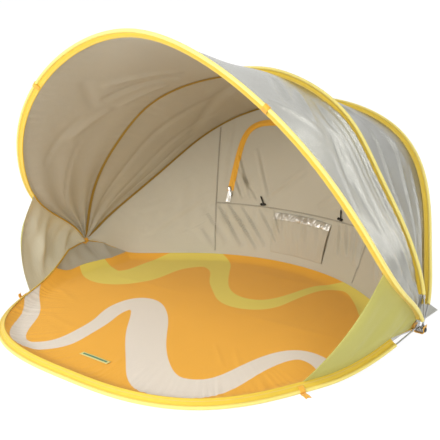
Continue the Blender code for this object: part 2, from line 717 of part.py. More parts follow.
def build_wall_seams(wires, root, tape_offset, deep):
    """The belt seam under the window and the two seams beside it, bound with tape."""
    grid = wall_surface(wires)
    seams = []
    for share in WALL_SEAM_SHARES:
        low, high = (wall_point(grid, share, up_share) for up_share in WALL_SEAM_UP_SHARES)
        seams.append((low[[0, 2]], high[[0, 2]]))
    names = ("wall_seam_right", "wall_seam_left")
    for name, (low, high) in zip(names, seams):
        tape = cloth_object(name, wall_surface(wires, tape_offset), root, "taupe_wall", TAPE)
        strip = strip_outline(low, high, WALL_SEAM_WIDTH)
        guide = guide_object(f"{name}_guide", *prism(strip, 0.0, deep), root)
        boolean(tape, guide, "INTERSECT")
    ends = [low + (high - low) * (BELT_SEAM_HEIGHT - low[1]) / (high[1] - low[1]) for low, high in seams]
    stop = np.array([WALL_SEAM_WIDTH / 2 + 4 * GAP, 0.0])
    strip = strip_outline(ends[1] + stop, ends[0] - stop, WALL_SEAM_WIDTH)
    belt = cloth_object("belt_seam", wall_surface(wires, tape_offset), root, "taupe_wall", TAPE)
    guide = guide_object("belt_seam_guide", *prism(strip, 0.0, deep), root)
    boolean(belt, guide, "INTERSECT")


def build_pocket(wires, bodies):
    """A bellied pocket on the wall's lower half and its gathered top band."""
    columns, rows = 15, 5
    base = CLOTH / 2 + LAYER_GAP + CLOTH / 2
    grids = wall_surface(wires, base), wall_surface(wires, base + POCKET_BULGE)
    near, far = POCKET_ALONG_SHARES
    low, high = POCKET_UP_SHARES
    panel = np.zeros((columns, rows, 3))
    for i, along_share in enumerate(np.linspace(near, far, columns)):
        edge = math.sin(math.pi * i / (columns - 1)) ** 0.5
        fold = POCKET_FOLD * math.sin(math.tau * POCKET_FOLDS * i / (columns - 1))
        for k, rise in enumerate(np.linspace(0.0, 1.0, rows)):
            flat = wall_point(grids[0], along_share, low + (high - low) * rise)
            out = wall_point(grids[1], along_share, low + (high - low) * rise)
            lean = edge * math.sin(math.pi / 2 * rise) * (1 + fold / POCKET_BULGE)
            panel[i, k] = flat + (out - flat) * lean
    cloth_object("wall_pocket", panel, bodies["rear_floor"], "taupe_wall")
    top = panel[:, -1] + Z_AXIS * (CLOTH / 2 + LAYER_GAP)
    inward = unit(panel[:, -1] - panel[:, -1] * [1.0, 2.0, 1.0])
    steps = np.linspace(0.0, 1.0, columns)
    ruffle = POCKET_RUFFLE * np.sin(math.tau * RUFFLE_FOLDS * steps) * np.sin(math.pi * steps)
    levels = (0.0, 0.5, 1.0)
    band = [
        top + Z_AXIS * POCKET_RUFFLE_HEIGHT * level + inward * (ruffle * level * (1 - level) * 4)[:, None]
        for level in levels]
    cloth_object("pocket_band", np.stack(band, axis=1), bodies["rear_floor"], "silver_film")


def turned(profile, centre, axis, square):
    """A profile of distances along and radii about an axis, turned into a solid."""
    profile = np.asarray(profile)
    third = np.cross(axis, square)
    turns = np.arange(ROUND_SIDES) * math.tau / ROUND_SIDES
    round_way = np.cos(turns)[:, None] * square + np.sin(turns)[:, None] * third
    sections = centre + profile[:, :1, None] * axis + profile[:, 1:, None] * round_way[None]
    return swept_solid(sections)


def build_hubs(bodies):
    """The hub pins with their heads, and the folded webbing slings that carry them."""
    root = bodies["rear_floor"]
    head_inner = CHEEK_OUTER + GAP
    head_outer = head_inner + PIN_HEAD_LENGTH
    crown = PIN_HEAD_LENGTH / 3
    profile = [
        (-head_outer, PIN_HEAD_DIAMETER / 2 - crown), (-head_outer + crown, PIN_HEAD_DIAMETER / 2),
        (-head_inner, PIN_HEAD_DIAMETER / 2), (-head_inner, PIN_DIAMETER / 2),
        (head_inner, PIN_DIAMETER / 2), (head_inner, PIN_HEAD_DIAMETER / 2),
        (head_outer - crown, PIN_HEAD_DIAMETER / 2), (head_outer, PIN_HEAD_DIAMETER / 2 - crown),
    ]
    pin = turned(profile, HUB + X_AXIS * HUB_HALF_WIDTH, X_AXIS, Z_AXIS)
    mesh_object("hub_pin_right", *pin, root, "black_plastic")
    mesh_object("hub_pin_left", *mirror_solid(pin), root, "black_plastic")
    web_inner = EYE_RADIUS + WIRE_RADIUS + SLING_SLACK
    web_outer = web_inner + SLING_THICKNESS
    corner = SLING_THICKNESS
    outline = [
        (CHEEK_OUTER, SLING_TOP), (CHEEK_INNER, SLING_TOP), (CHEEK_INNER, -web_inner + corner / 2),
        (CHEEK_INNER - corner / 2, -web_inner), (-CHEEK_INNER + corner / 2, -web_inner),
        (-CHEEK_INNER, -web_inner + corner / 2), (-CHEEK_INNER, SLING_TOP), (-CHEEK_OUTER, SLING_TOP),
        (-CHEEK_OUTER, -web_outer + corner), (-CHEEK_OUTER + corner, -web_outer),
        (CHEEK_OUTER - corner, -web_outer), (CHEEK_OUTER, -web_outer + corner),
    ]
    outline = np.array(outline) + [HUB_HALF_WIDTH, HUB_HEIGHT]
    sling = prism(outline, -SLING_WIDTH / 2, SLING_WIDTH / 2)
    hole_radius = PIN_DIAMETER / 2 + EYE_CLEARANCE
    hole_profile = [(-2 * CHEEK_OUTER, hole_radius), (2 * CHEEK_OUTER, hole_radius)]
    hole = turned(hole_profile, HUB + X_AXIS * HUB_HALF_WIDTH, X_AXIS, Z_AXIS)
    for side, solid, cut in (("right", sling, hole), ("left", mirror_solid(sling), mirror_solid(hole))):
        made = mesh_object(f"hub_sling_{side}", *solid, root, "orange_webbing", smooth=False)
        guide = guide_object(f"sling_hole_guide_{side}", *cut, root)
        boolean(made, guide, "DIFFERENCE")


def local_frame(wire, at):
    """Centre, fin directions and tangent of a wire at a running length."""
    def read(values):
        return np.array([np.interp(at, wire.at, values[:, k]) for k in range(3)])
    return read(wire.points), unit(read(wire.outer)), unit(read(wire.side)), unit(read(wire.tangent))


def ribbon_outline(path, thickness):
    """A flat path of points given its thickness, with its corners mitred."""
    path = np.asarray(path)
    way = unit(np.diff(path, axis=0))
    before, after = np.vstack([way[:1], way]), np.vstack([way, way[-1:]])
    middle = unit(before + after)
    normal = np.stack([-middle[:, 1], middle[:, 0]], axis=1)
    mitre = thickness / 2 / np.sum(middle * after, axis=1, keepdims=True)
    return np.vstack([path + normal * mitre, (path - normal * mitre)[::-1]])


def wrap_path(width, cover):
    """The path of a ribbon's middle round the fin's edge and a share of the way down both flanks."""
    middle = drop_profile(width, GAP + TAPE / 2)
    edge, hem = middle[:5], middle[5:]
    first = edge[0] + (hem[2] - edge[0]) * cover
    last = edge[4] + (hem[0] - edge[4]) * cover
    return np.vstack([first, edge, last])


def strap_solid(wire, at, outline, width):
    """A section carried straight along the wire for a strap's width."""
    centre, outer, side, tangent = local_frame(wire, at)
    centres = np.array([centre - tangent * width / 2, centre + tangent * width / 2])
    directions = np.stack([outer, outer]), np.stack([side, side])
    return swept_solid(placed_profile(centres, *directions, outline))


def build_small_parts(wires, bodies):
    """Hoop tabs, peg loops, ferrules and sand flaps."""
    front, middle = wires["front_hoop"], wires["middle_hoop"]
    tab_outline = ribbon_outline(wrap_path(front.width, TAB_COVER_SHARE), TAPE)
    tab = strap_solid(front, FRONT_TAB_SHARE * front.length, tab_outline, TAB_WIDTH)
    pair_objects("front_hoop_tab", tab, bodies["front_hoop"], "orange_webbing")
    ring = wires["ring_front"]
    loop = peg_loop(ring, PEG_LOOP_SHARE * ring.length)
    pair_objects("peg_loop", loop, bodies["front_floor"], "orange_webbing")
    end = middle.at[middle.sleeve][0] - GAP
    ferrule_at = np.array([end - FERRULE_LENGTH, end])
    centres = read_curve(middle.curve, ferrule_at)
    way = unit(centres[1] - centres[0])
    square = unit(np.cross(way, middle.across))
    bore_radius = (WIRE_RADIUS + EYE_CLEARANCE)
    turns = np.arange(ROUND_SIDES) * math.tau / ROUND_SIDES
    round_way = np.cos(turns)[:, None] * square + np.sin(turns)[:, None] * np.cross(way, square)
    rings = [centres[:, None] + round_way[None] * radius for radius in (bore_radius + FERRULE_WALL, bore_radius)]
    pair_objects("hoop_ferrule", swept_tube(*rings), bodies["middle_hoop"], "bright_metal", smooth=True)
    build_sand_flaps(wires["ring_rear"], bodies["rear_floor"])


def peg_loop(ring, at):
    """A ribbon over the outer flank of the ring's sleeve, with a notched tail on the ground."""
    centre, outer, side, tangent = local_frame(ring, at)
    level = unit(np.cross(tangent, Z_AXIS))
    level = level * np.sign(level @ outer)
    flank = wrap_path(ring.width, PEG_LOOP_COVER_SHARE)[:2:-1]
    over = [((a * outer + b * side) @ level, (a * outer + b * side) @ Z_AXIS) for a, b in flank]
    ground = TAPE / 2 - centre[2]
    foot = SLEEVE_EDGE_RADIUS + 2 * TAPE
    sections = []
    for share, notch in ((-0.5, 0.0), (0.0, PEG_LOOP_NOTCH), (0.5, 0.0)):
        tail = [(foot, ground), (foot + PEG_LOOP_TAIL - notch, ground)]
        outline = ribbon_outline(np.vstack([over, tail]), TAPE)
        start = centre + tangent * PEG_LOOP_WIDTH * share
        sections.append(start + outline[:, :1] * level + outline[:, 1:] * Z_AXIS)
    return swept_solid(np.array(sections))


def build_sand_flaps(ring, root):
    """Flat flaps on the ground behind, to be weighed down with sand."""
    first, last = (ring.share(share) for share in SAND_FLAP_SHARES)
    lower_edge = ring.points[first:last + 1] * [1, 1, 0]
    outward = unit(np.cross(ring.tangent[first:last + 1], Z_AXIS))
    stand = SLEEVE_EDGE_RADIUS * SAND_FLAP_TUCK_SHARE
    steps = np.linspace(0.0, 1.0, last - first + 1)[:, None]
    inner = lower_edge + outward * stand
    mean_way = unit(outward.mean(axis=0))
    near, far = inner[0] + mean_way * SAND_FLAP_REACH, inner[-1] + mean_way * SAND_FLAP_REACH
    outer = near * (1 - steps) + far * steps
    grid = np.stack([inner, outer], axis=1)
    grid[..., 2] = CLOTH / 2
    cloth_object("sand_flap_right", grid, root, "grey_flap")
    cloth_object("sand_flap_left", grid * MIRROR_X, root, "grey_flap")


def build_window_hardware(wires, bodies):
    """The zip's slider with its pull, and the toggles on their loops."""
    root = bodies["rear_floor"]
    inner_face = wall_surface(wires, CLOTH / 2 + 2 * LAYER_GAP + TAPE)
    foot, axes = wall_seat(inner_face, WINDOW_OFFSET - WINDOW_HALF_WIDTH, ZIP_FOOT)
    slider_size = np.array([SLIDER_WIDTH, SLIDER_LENGTH, SLIDER_THICKNESS])
    slider_centre = foot + slider_size[1:] / 2 @ axes[1:]
    mesh_object("zip_slider", *box_solid(slider_centre, slider_size, axes), root, "bright_metal", smooth=False)
    pull_size = np.array([PULL_WIDTH, PULL_LENGTH, TAPE])
    pull_centre = foot + np.array([-PULL_LENGTH / 2 - GAP, SLIDER_THICKNESS / 2]) @ axes[1:]
    mesh_object("zip_pull", *box_solid(pull_centre, pull_size, axes), root, "bright_metal", smooth=False)
    loop_size = np.array([TOGGLE_LOOP_WIDTH, TOGGLE_LOOP_LENGTH, TAPE])
    end, waist, half = TOGGLE_DIAMETER / 2, TOGGLE_WAIST_DIAMETER / 2, TOGGLE_LENGTH / 2
    bead = [(half * along_share, end * round_share) for along_share, round_share in TOGGLE_SHARES]
    profile = [(-along, radius) for along, radius in bead[::-1]] + [(0.0, waist)] + bead
    for side, x in (("right", TOGGLE_SPACING / 2), ("left", -TOGGLE_SPACING / 2)):
        seat, axes = wall_seat(inner_face, WINDOW_OFFSET + x, BELT_SEAM_HEIGHT)
        loop = box_solid(seat + loop_size[1:] / 2 @ axes[1:], loop_size, axes)
        mesh_object(f"toggle_loop_{side}", *loop, root, "black_plastic", smooth=False)
        centre = seat + np.array([end, end + TAPE + GAP]) @ axes[1:]
        barrel = turned(profile, centre, axes[0], axes[1])
        mesh_object(f"toggle_barrel_{side}", *barrel, root, "black_plastic")


def box_solid(centre, size, axes):
    """A box of a size along three directions."""
    half = np.asarray(size) / 2
    corners = np.array([(-1, -1), (1, -1), (1, 1), (-1, 1)])
    sections = [[centre + (half * [x, y, z]) @ axes for x, y in corners] for z in (-1, 1)]
    return swept_solid(np.array(sections))


def main():
    """Builds the whole tent."""
    clear_scene()
    wires = {
        "front_hoop": hoop(
            "front_hoop", FRONT_HOOP_REACH, FRONT_HOOP_LEAN, FRONT_HOOP_SHARES, FRONT_HOOP_BARE),
        "middle_hoop": hoop(
            "middle_hoop", MIDDLE_HOOP_REACH, MIDDLE_HOOP_LEAN, MIDDLE_HOOP_SHARES, MIDDLE_HOOP_BARE),
        "rear_hoop": hoop(
            "rear_hoop", REAR_HOOP_REACH, REAR_HOOP_LEAN, REAR_HOOP_SHARES, REAR_HOOP_BARE),
        "ring_front": ring_half(
            "ring_front", RING_FRONT_REACH, -1, RING_FRONT_SHARES, RING_FRONT_BARE, RING_FRONT_STEPS),
        "ring_rear": ring_half(
            "ring_rear", RING_REAR_REACH, 1, RING_REAR_SHARES, RING_REAR_BARE, RING_REAR_STEPS),
    }
    root = empty("rear_floor_frame", np.zeros(3))
    bodies = {"rear_floor": root}
    for name in ("front_floor", "front_hoop", "middle_hoop", "rear_hoop"):
        bodies[name] = empty(f"{name}_frame", HUB, root)
    flap_middle, _ = wall_seat(wall_surface(wires), WINDOW_OFFSET, WINDOW_FOOT)
    flap_corner, _ = wall_seat(wall_surface(wires), WINDOW_OFFSET + WINDOW_HALF_WIDTH, WINDOW_FOOT)
    flap_axis = (flap_middle + flap_corner) / 2 * [0.0, 1.0, 1.0]
    bodies["window_flap"] = empty("window_flap_frame", flap_axis, root)
    bpy.context.view_layer.update()
    build_hoops(wires, bodies)
    build_canopies(wires, bodies)
    build_side_panels(wires, bodies)
    build_floor(wires, bodies)
    build_back_wall(wires, bodies)
    build_pocket(wires, bodies)
    build_hubs(bodies)
    build_small_parts(wires, bodies)
    build_window_hardware(wires, bodies)
    bpy.context.view_layer.update()


if __name__ == "__main__":
    main()
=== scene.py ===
"""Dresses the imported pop-up beach tent in its cloth, sleeves, webbing, wire and hardware.

Metres, +Z up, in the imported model's own frame: the opening faces -Y and the hubs lie on the X axis.
"""

import json
import math

import bmesh
import bpy
import numpy as np
from mathutils import Quaternion, Vector
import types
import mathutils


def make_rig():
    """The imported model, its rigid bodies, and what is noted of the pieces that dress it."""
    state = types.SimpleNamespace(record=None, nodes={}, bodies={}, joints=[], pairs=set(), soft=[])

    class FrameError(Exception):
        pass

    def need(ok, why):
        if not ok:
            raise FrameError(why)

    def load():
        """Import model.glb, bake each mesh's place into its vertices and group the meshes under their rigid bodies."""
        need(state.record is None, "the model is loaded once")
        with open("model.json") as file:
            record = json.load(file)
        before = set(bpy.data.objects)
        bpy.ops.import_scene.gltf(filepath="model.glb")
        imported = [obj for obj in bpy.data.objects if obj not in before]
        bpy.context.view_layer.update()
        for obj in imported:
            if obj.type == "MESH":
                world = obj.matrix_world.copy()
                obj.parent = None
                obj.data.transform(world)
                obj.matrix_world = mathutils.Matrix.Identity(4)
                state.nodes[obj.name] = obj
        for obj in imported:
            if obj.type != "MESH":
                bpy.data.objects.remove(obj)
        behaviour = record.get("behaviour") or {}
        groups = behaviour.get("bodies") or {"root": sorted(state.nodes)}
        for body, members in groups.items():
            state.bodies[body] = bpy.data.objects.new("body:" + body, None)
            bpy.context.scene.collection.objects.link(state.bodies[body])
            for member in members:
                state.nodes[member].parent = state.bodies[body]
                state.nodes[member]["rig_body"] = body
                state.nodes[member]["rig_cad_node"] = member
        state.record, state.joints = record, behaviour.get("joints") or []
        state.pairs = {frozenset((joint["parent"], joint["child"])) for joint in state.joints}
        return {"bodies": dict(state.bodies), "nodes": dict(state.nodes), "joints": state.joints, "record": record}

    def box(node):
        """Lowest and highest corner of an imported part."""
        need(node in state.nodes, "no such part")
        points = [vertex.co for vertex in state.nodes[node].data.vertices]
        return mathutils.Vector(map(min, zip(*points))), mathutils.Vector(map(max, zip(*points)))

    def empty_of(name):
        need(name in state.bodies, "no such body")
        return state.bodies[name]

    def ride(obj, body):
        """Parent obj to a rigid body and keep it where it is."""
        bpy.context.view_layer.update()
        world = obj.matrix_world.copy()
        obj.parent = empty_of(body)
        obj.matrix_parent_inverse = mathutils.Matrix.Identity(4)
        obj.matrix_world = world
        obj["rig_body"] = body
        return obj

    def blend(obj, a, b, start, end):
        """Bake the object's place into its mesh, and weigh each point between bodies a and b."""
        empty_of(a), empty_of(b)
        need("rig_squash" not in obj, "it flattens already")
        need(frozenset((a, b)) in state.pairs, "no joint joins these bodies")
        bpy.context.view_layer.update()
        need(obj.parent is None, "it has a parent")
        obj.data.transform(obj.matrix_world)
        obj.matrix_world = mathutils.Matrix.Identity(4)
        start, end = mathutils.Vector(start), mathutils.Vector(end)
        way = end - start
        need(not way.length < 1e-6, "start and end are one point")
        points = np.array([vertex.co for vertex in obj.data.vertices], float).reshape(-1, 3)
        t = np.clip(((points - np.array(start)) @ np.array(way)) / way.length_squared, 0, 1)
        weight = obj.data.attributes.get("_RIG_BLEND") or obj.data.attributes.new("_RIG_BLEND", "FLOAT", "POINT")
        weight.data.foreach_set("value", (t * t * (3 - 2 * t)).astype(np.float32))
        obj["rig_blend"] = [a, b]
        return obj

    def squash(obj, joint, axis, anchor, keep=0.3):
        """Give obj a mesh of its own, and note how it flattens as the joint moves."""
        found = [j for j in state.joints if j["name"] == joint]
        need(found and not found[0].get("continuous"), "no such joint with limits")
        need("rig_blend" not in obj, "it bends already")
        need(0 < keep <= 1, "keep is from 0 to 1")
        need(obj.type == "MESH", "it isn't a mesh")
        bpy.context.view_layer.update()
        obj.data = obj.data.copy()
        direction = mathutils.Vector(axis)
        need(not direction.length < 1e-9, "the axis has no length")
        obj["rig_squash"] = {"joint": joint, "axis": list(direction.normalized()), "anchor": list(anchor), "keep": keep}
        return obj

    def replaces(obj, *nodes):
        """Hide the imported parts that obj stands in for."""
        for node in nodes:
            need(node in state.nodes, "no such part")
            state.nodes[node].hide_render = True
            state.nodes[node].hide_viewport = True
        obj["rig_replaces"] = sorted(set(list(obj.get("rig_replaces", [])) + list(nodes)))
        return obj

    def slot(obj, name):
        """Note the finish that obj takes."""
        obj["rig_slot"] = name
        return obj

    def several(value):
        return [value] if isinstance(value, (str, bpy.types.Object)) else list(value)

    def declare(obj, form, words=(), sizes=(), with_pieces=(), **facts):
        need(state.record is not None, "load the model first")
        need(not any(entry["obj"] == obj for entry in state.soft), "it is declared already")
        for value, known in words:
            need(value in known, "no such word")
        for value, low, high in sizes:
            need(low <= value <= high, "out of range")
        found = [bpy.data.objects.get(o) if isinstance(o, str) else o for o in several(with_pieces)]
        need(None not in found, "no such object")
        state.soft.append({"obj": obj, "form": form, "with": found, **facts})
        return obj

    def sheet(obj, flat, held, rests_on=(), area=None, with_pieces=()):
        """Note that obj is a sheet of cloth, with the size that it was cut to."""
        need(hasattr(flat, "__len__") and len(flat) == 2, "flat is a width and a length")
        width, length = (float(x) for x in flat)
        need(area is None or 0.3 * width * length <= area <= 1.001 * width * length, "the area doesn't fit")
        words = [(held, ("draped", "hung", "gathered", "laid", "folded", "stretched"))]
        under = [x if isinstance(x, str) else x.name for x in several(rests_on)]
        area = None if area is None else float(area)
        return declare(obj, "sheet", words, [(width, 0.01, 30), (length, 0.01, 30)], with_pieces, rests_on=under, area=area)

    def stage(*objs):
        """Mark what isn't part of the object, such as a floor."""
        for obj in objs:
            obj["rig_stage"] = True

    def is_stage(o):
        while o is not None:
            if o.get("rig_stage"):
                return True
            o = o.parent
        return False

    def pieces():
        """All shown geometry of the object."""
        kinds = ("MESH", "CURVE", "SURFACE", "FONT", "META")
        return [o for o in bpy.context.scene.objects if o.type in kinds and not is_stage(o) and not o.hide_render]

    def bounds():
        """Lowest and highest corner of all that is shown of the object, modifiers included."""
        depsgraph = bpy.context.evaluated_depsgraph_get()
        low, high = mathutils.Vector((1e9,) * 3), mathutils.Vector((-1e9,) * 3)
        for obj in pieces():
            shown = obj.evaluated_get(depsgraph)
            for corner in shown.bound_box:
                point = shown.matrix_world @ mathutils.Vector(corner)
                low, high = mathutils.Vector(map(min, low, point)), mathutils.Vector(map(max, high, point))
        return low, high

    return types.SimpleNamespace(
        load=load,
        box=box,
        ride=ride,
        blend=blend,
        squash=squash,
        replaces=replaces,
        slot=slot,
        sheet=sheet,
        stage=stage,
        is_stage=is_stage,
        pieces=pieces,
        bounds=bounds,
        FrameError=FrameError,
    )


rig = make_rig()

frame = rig.load()
CAD_BOX = [list(corner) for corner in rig.bounds()]

bl_info = {
    "name": "Pop-up Beach Tent",
    "version": (1, 0, 0),
    "blender": (4, 5, 0),
    "location": "View3D > Sidebar > Tent",
    "description": "Builds the cloth, sleeves, webbing, wire and hardware of a pop-up beach tent",
    "category": "Object",
}

X_AXIS, Y_AXIS, Z_AXIS = np.eye(3)
MIRROR_X = np.array([-1.0, 1.0, 1.0])
MM = 0.001

# Frame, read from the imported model
PIN_LOW, PIN_HIGH = (np.array(corner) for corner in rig.box("hub_pin_right"))
FLOOR_FOLD = next(joint for joint in frame["joints"] if joint["name"] == "floor_fold")
HUB_X = (PIN_LOW[0] + PIN_HIGH[0]) / 2
HUB = np.array([0.0, 0.0, FLOOR_FOLD["pos_m"][2]])
RATIO = {row["joint"]: row["ratio"] for row in frame["record"]["behaviour"]["couplings"]}
FRONT_TURN = RATIO["front_hoop_fold"]
MIDDLE_TURN = RATIO["middle_hoop_fold"]
REAR_TURN = RATIO["rear_hoop_fold"]

# Bent wires, as in the part's source
WIRE_RADIUS = 1.75 * MM
EYE_RADIUS = 5.35 * MM
EYE_PITCH = 4.0 * MM
EYE_LEAD = 12.0 * MM
EYE_TURN = math.radians(270.0)
EYE_SLOTS = {"front_hoop": 2, "middle_hoop": 1, "rear_hoop": 0, "ring_front": -1, "ring_rear": -2}
RING_REST = 4.8 * MM
RING_TILT = math.radians(45.0)
CLOTH_START = 35.0 * MM
CLOTH_TIP = 12.0 * MM
CORNER_INSET = 14.0 * MM
FRONT_LEAN, MIDDLE_LEAN, REAR_LEAN = (math.radians(lean) for lean in (60.0, 101.0, 138.0))

# Shares along each half wire from the hub to the middle: half width, reach, and bow or lift
FRONT_HOOP_SHARES = (
    (1.020, 0.260, -0.075), (0.940, 0.498, -0.092), (0.782, 0.700, -0.060),
    (0.560, 0.855, -0.017), (0.295, 0.959, 0.023), (0.0, 1.0, 0.044),
)
MIDDLE_HOOP_SHARES = (
    (0.920, 0.346, -0.040), (0.752, 0.600, -0.063), (0.593, 0.787, -0.043),
    (0.400, 0.908, 0.0), (0.200, 0.974, 0.050), (0.0, 1.0, 0.083),
)
REAR_HOOP_SHARES = (
    (0.910, 0.302, 0.022), (0.802, 0.533, 0.038), (0.674, 0.731, 0.031),
    (0.487, 0.886, 0.022), (0.251, 0.974, 0.011), (0.0, 1.0, 0.003),
)
RING_FRONT_SHARES = (
    (0.962, 0.158, 0.72), (0.910, 0.290, 0.26), (0.858, 0.415, 0.03), (0.796, 0.550, 0.0),
    (0.708, 0.715, 0.0), (0.540, 0.890, 0.0), (0.285, 0.984, 0.0), (0.0, 1.0, 0.0),
)
RING_REAR_SHARES = (
    (0.950, 0.140, 0.66), (0.898, 0.260, 0.22), (0.835, 0.360, 0.03), (0.762, 0.446, 0.0),
    (0.644, 0.598, 0.0), (0.431, 0.830, 0.0), (0.216, 0.960, 0.0), (0.0, 1.0, 0.0),
)

# Sleeves
CHANNEL_RADIUS = 4.5 * MM
HEM_RADIUS = 1.8 * MM
HEM_TUCK, HEM_SPREAD = 2.0 * MM, 0.5 * MM
FIN_HALF, FIN_SWELL = 1.15 * MM, 0.75 * MM
BORE_RADIUS, CUFF_DEPTH = 2.3 * MM, 5.0 * MM
SLEEVE_WIDTH = 21.0 * MM
RING_SLEEVE_WIDTH = 24.0 * MM

# Back wall, window and pocket, in X and Z or as shares along and up the wall
WALL_SAG = 6.0 * MM
WALL_OVERRUN = 0.020
WINDOW_HALF_WIDTH = 0.248
WINDOW_OFFSET = 0.015
WINDOW_FOOT = 0.170
WINDOW_TOP = 0.412
ZIP_FOOT = 0.200
ARCH_POWER = 6.5
ZIP_WIDTH, ZIP_LIFT, ZIP_THICKNESS = 18.0 * MM, 2.4 * MM, 0.9 * MM
FLAP_OVERLAP, FLAP_FOOT_OVERLAP, FLAP_LIFT = 1.5 * MM, 5.0 * MM, 0.9 * MM
NET_OVERLAP, NET_DROP, NET_THICKNESS = 12.0 * MM, 4.5 * MM, 0.5 * MM
# What the folds of the flap and the net take up, as shares of width, height and area
FILL_EASE = (1.03, 1.06, 1.05)
BELT_HEIGHT = 0.163
SEAM_SHARES = (0.304, 0.696)
SEAM_UP = (0.030, 0.975)
SEAM_WIDTH, SEAM_THICKNESS = 4.5 * MM, 0.6 * MM
POCKET_ALONG = (0.412, 0.556)
POCKET_UP = (0.055, 0.262)
POCKET_SEAT, POCKET_STAND = 1.8 * MM, 10.5 * MM
BAND_RISE, GATHER, FILM = 0.042, 1.3, 0.6 * MM
TOGGLE_SPACING = 0.270
TOGGLE_HALF, BEAD_RADIUS, CORD_RADIUS = 9.5 * MM, 4.1 * MM, 1.15 * MM
STOP_WIDTH = 14.0 * MM
SLIDER_SIZE, PULL_SIZE = (9.0 * MM, 14.0 * MM, 2.8 * MM), (6.5 * MM, 22.0 * MM, 1.3 * MM)
# A toggle's loop of cord, in millimetres right, up and inwards from where it is sewn
TOGGLE_LOOP = (
    (3.0, 2.0, 4.0), (1.0, 9.0, 4.6), (-3.0, 17.0, 3.6), (-7.0, 25.0, 2.6), (-10.0, 28.0, 2.2),
    (-9.0, 24.0, 2.2), (-5.0, 15.0, 2.4), (-1.5, 7.0, 2.6), (-1.0, -1.0, 1.4))

# Mat, panels and small straps
LIFT_OFF_FRONT, LIFT_OFF_REAR = 0.097, 0.107
FRONT_INSET, REAR_INSET = 1.0 * MM, -2.0 * MM
FRONT_TUCK, REAR_TUCK = 2.5 * MM, 6.5 * MM
MAT_LEVEL = 0.5 * MM
MAT_SIDE = (
    (0.486, -0.115, 14 * MM), (0.486, -0.070, 16 * MM), (0.479, -0.020, 16 * MM), (0.465, 0.030, 15 * MM))
WALL_DROP, WALL_TUCK, WALL_SPREAD = 8.0 * MM, -2.4 * MM, 2.0 * MM
PANEL_ON_HOOP, PANEL_ON_RING = 0.125, 0.190
BINDING_REACH, BINDING_LIFT, BINDING_FOLD = 4.6 * MM, 1.7 * MM, -2.6 * MM
PIPING_RADIUS, TAPE = 2.2 * MM, 0.8 * MM
TAB_SHARE, PEG_SHARE = 0.326, 0.195
SAND_FLAP_SHARES = (0.105, 0.270)
SAND_FLAP_REACH = 0.135
SAND_FLAP_CUT = 0.42
GUSSET_INSET, GUSSET_TUCK, GUSSET_DROP = 2.5 * MM, 1.4 * MM, 6.0 * MM
# The least area a narrow pointed cloth is declared with, as a share of its width times its length
LEAST_AREA = 0.3
SLING_GAP, SLING_CORNER, SLING_TOP, SLING_HALF_WIDTH = 1.6 * MM, 4.0 * MM, 10.0 * MM, 9.0 * MM
PATCH_RADIUS, PATCH_GAP, PATCH_DISH = 12.5 * MM, 1.6 * MM, 1.0 * MM
STRAP_HALF_WIDTH, PEG_TAIL, PEG_NOTCH = 6.5 * MM, 19.0 * MM, 3.5 * MM
FERRULE_RADIUS, FERRULE_LENGTH = 3.6 * MM, 10.0 * MM
LABEL_PLACE = (-0.018, -0.466)

# Bands of colour printed on the mat: places along each band's middle and its half width
FRONT_BAND = (
    (-0.500, -0.220, 0.016), (-0.425, -0.303, 0.018), (-0.335, -0.385, 0.022), (-0.270, -0.475, 0.020),
    (-0.205, -0.513, 0.018), (-0.150, -0.470, 0.024), (-0.145, -0.390, 0.023), (-0.163, -0.295, 0.023),
    (-0.183, -0.215, 0.028), (-0.163, -0.158, 0.037), (-0.100, -0.195, 0.046), (-0.036, -0.272, 0.050),
    (0.094, -0.414, 0.048), (0.195, -0.470, 0.052), (0.268, -0.420, 0.038), (0.288, -0.340, 0.029),
    (0.298, -0.250, 0.026), (0.342, -0.170, 0.024), (0.410, -0.185, 0.024), (0.470, -0.260, 0.028),
)
REAR_BAND = (
    (-0.530, -0.010, 0.034), (-0.450, -0.040, 0.048), (-0.370, -0.063, 0.056), (-0.320, -0.010, 0.060),
    (-0.312, 0.080, 0.061), (-0.290, 0.170, 0.062), (-0.228, 0.222, 0.055), (-0.158, 0.183, 0.032),
    (-0.100, 0.104, 0.027), (-0.036, 0.038, 0.026), (0.035, 0.004, 0.036), (0.096, 0.025, 0.034),
    (0.128, 0.095, 0.022), (0.143, 0.172, 0.018), (0.170, 0.238, 0.019), (0.222, 0.262, 0.021),
    (0.285, 0.228, 0.025), (0.360, 0.140, 0.030),
)

# Camera and light, fitted to the photograph
CAMERA_PLACE = (1.178, -1.585, 0.786)
CAMERA_AIM = (-0.2067, 0.2502, 0.1302)
CAMERA_LENS = 64.25
CAMERA_ROLL = math.radians(0.09)
SWEEP_RADIUS = 2.0
LIGHT_AIM = (0.0, 0.0, 0.25)
# Each lamp's name, place, width, power and colour
SOFTBOXES = (
    ("front softbox", (-0.9, -3.0, 1.15), 1.8, 56.0, (1.0, 0.985, 0.96)),
    ("right softbox", (2.3, -2.0, 1.0), 1.1, 24.0, (1.0, 1.0, 1.0)),
    ("top softbox", (0.1, -1.7, 2.9), 1.8, 36.0, (0.97, 0.985, 1.0)),
    ("low rim softbox", (2.8, 3.0, 1.4), 0.6, 20.0, (1.0, 1.0, 1.0)),
    ("high rim softbox", (1.3, 3.0, 2.8), 0.6, 13.0, (1.0, 1.0, 1.0)),
)

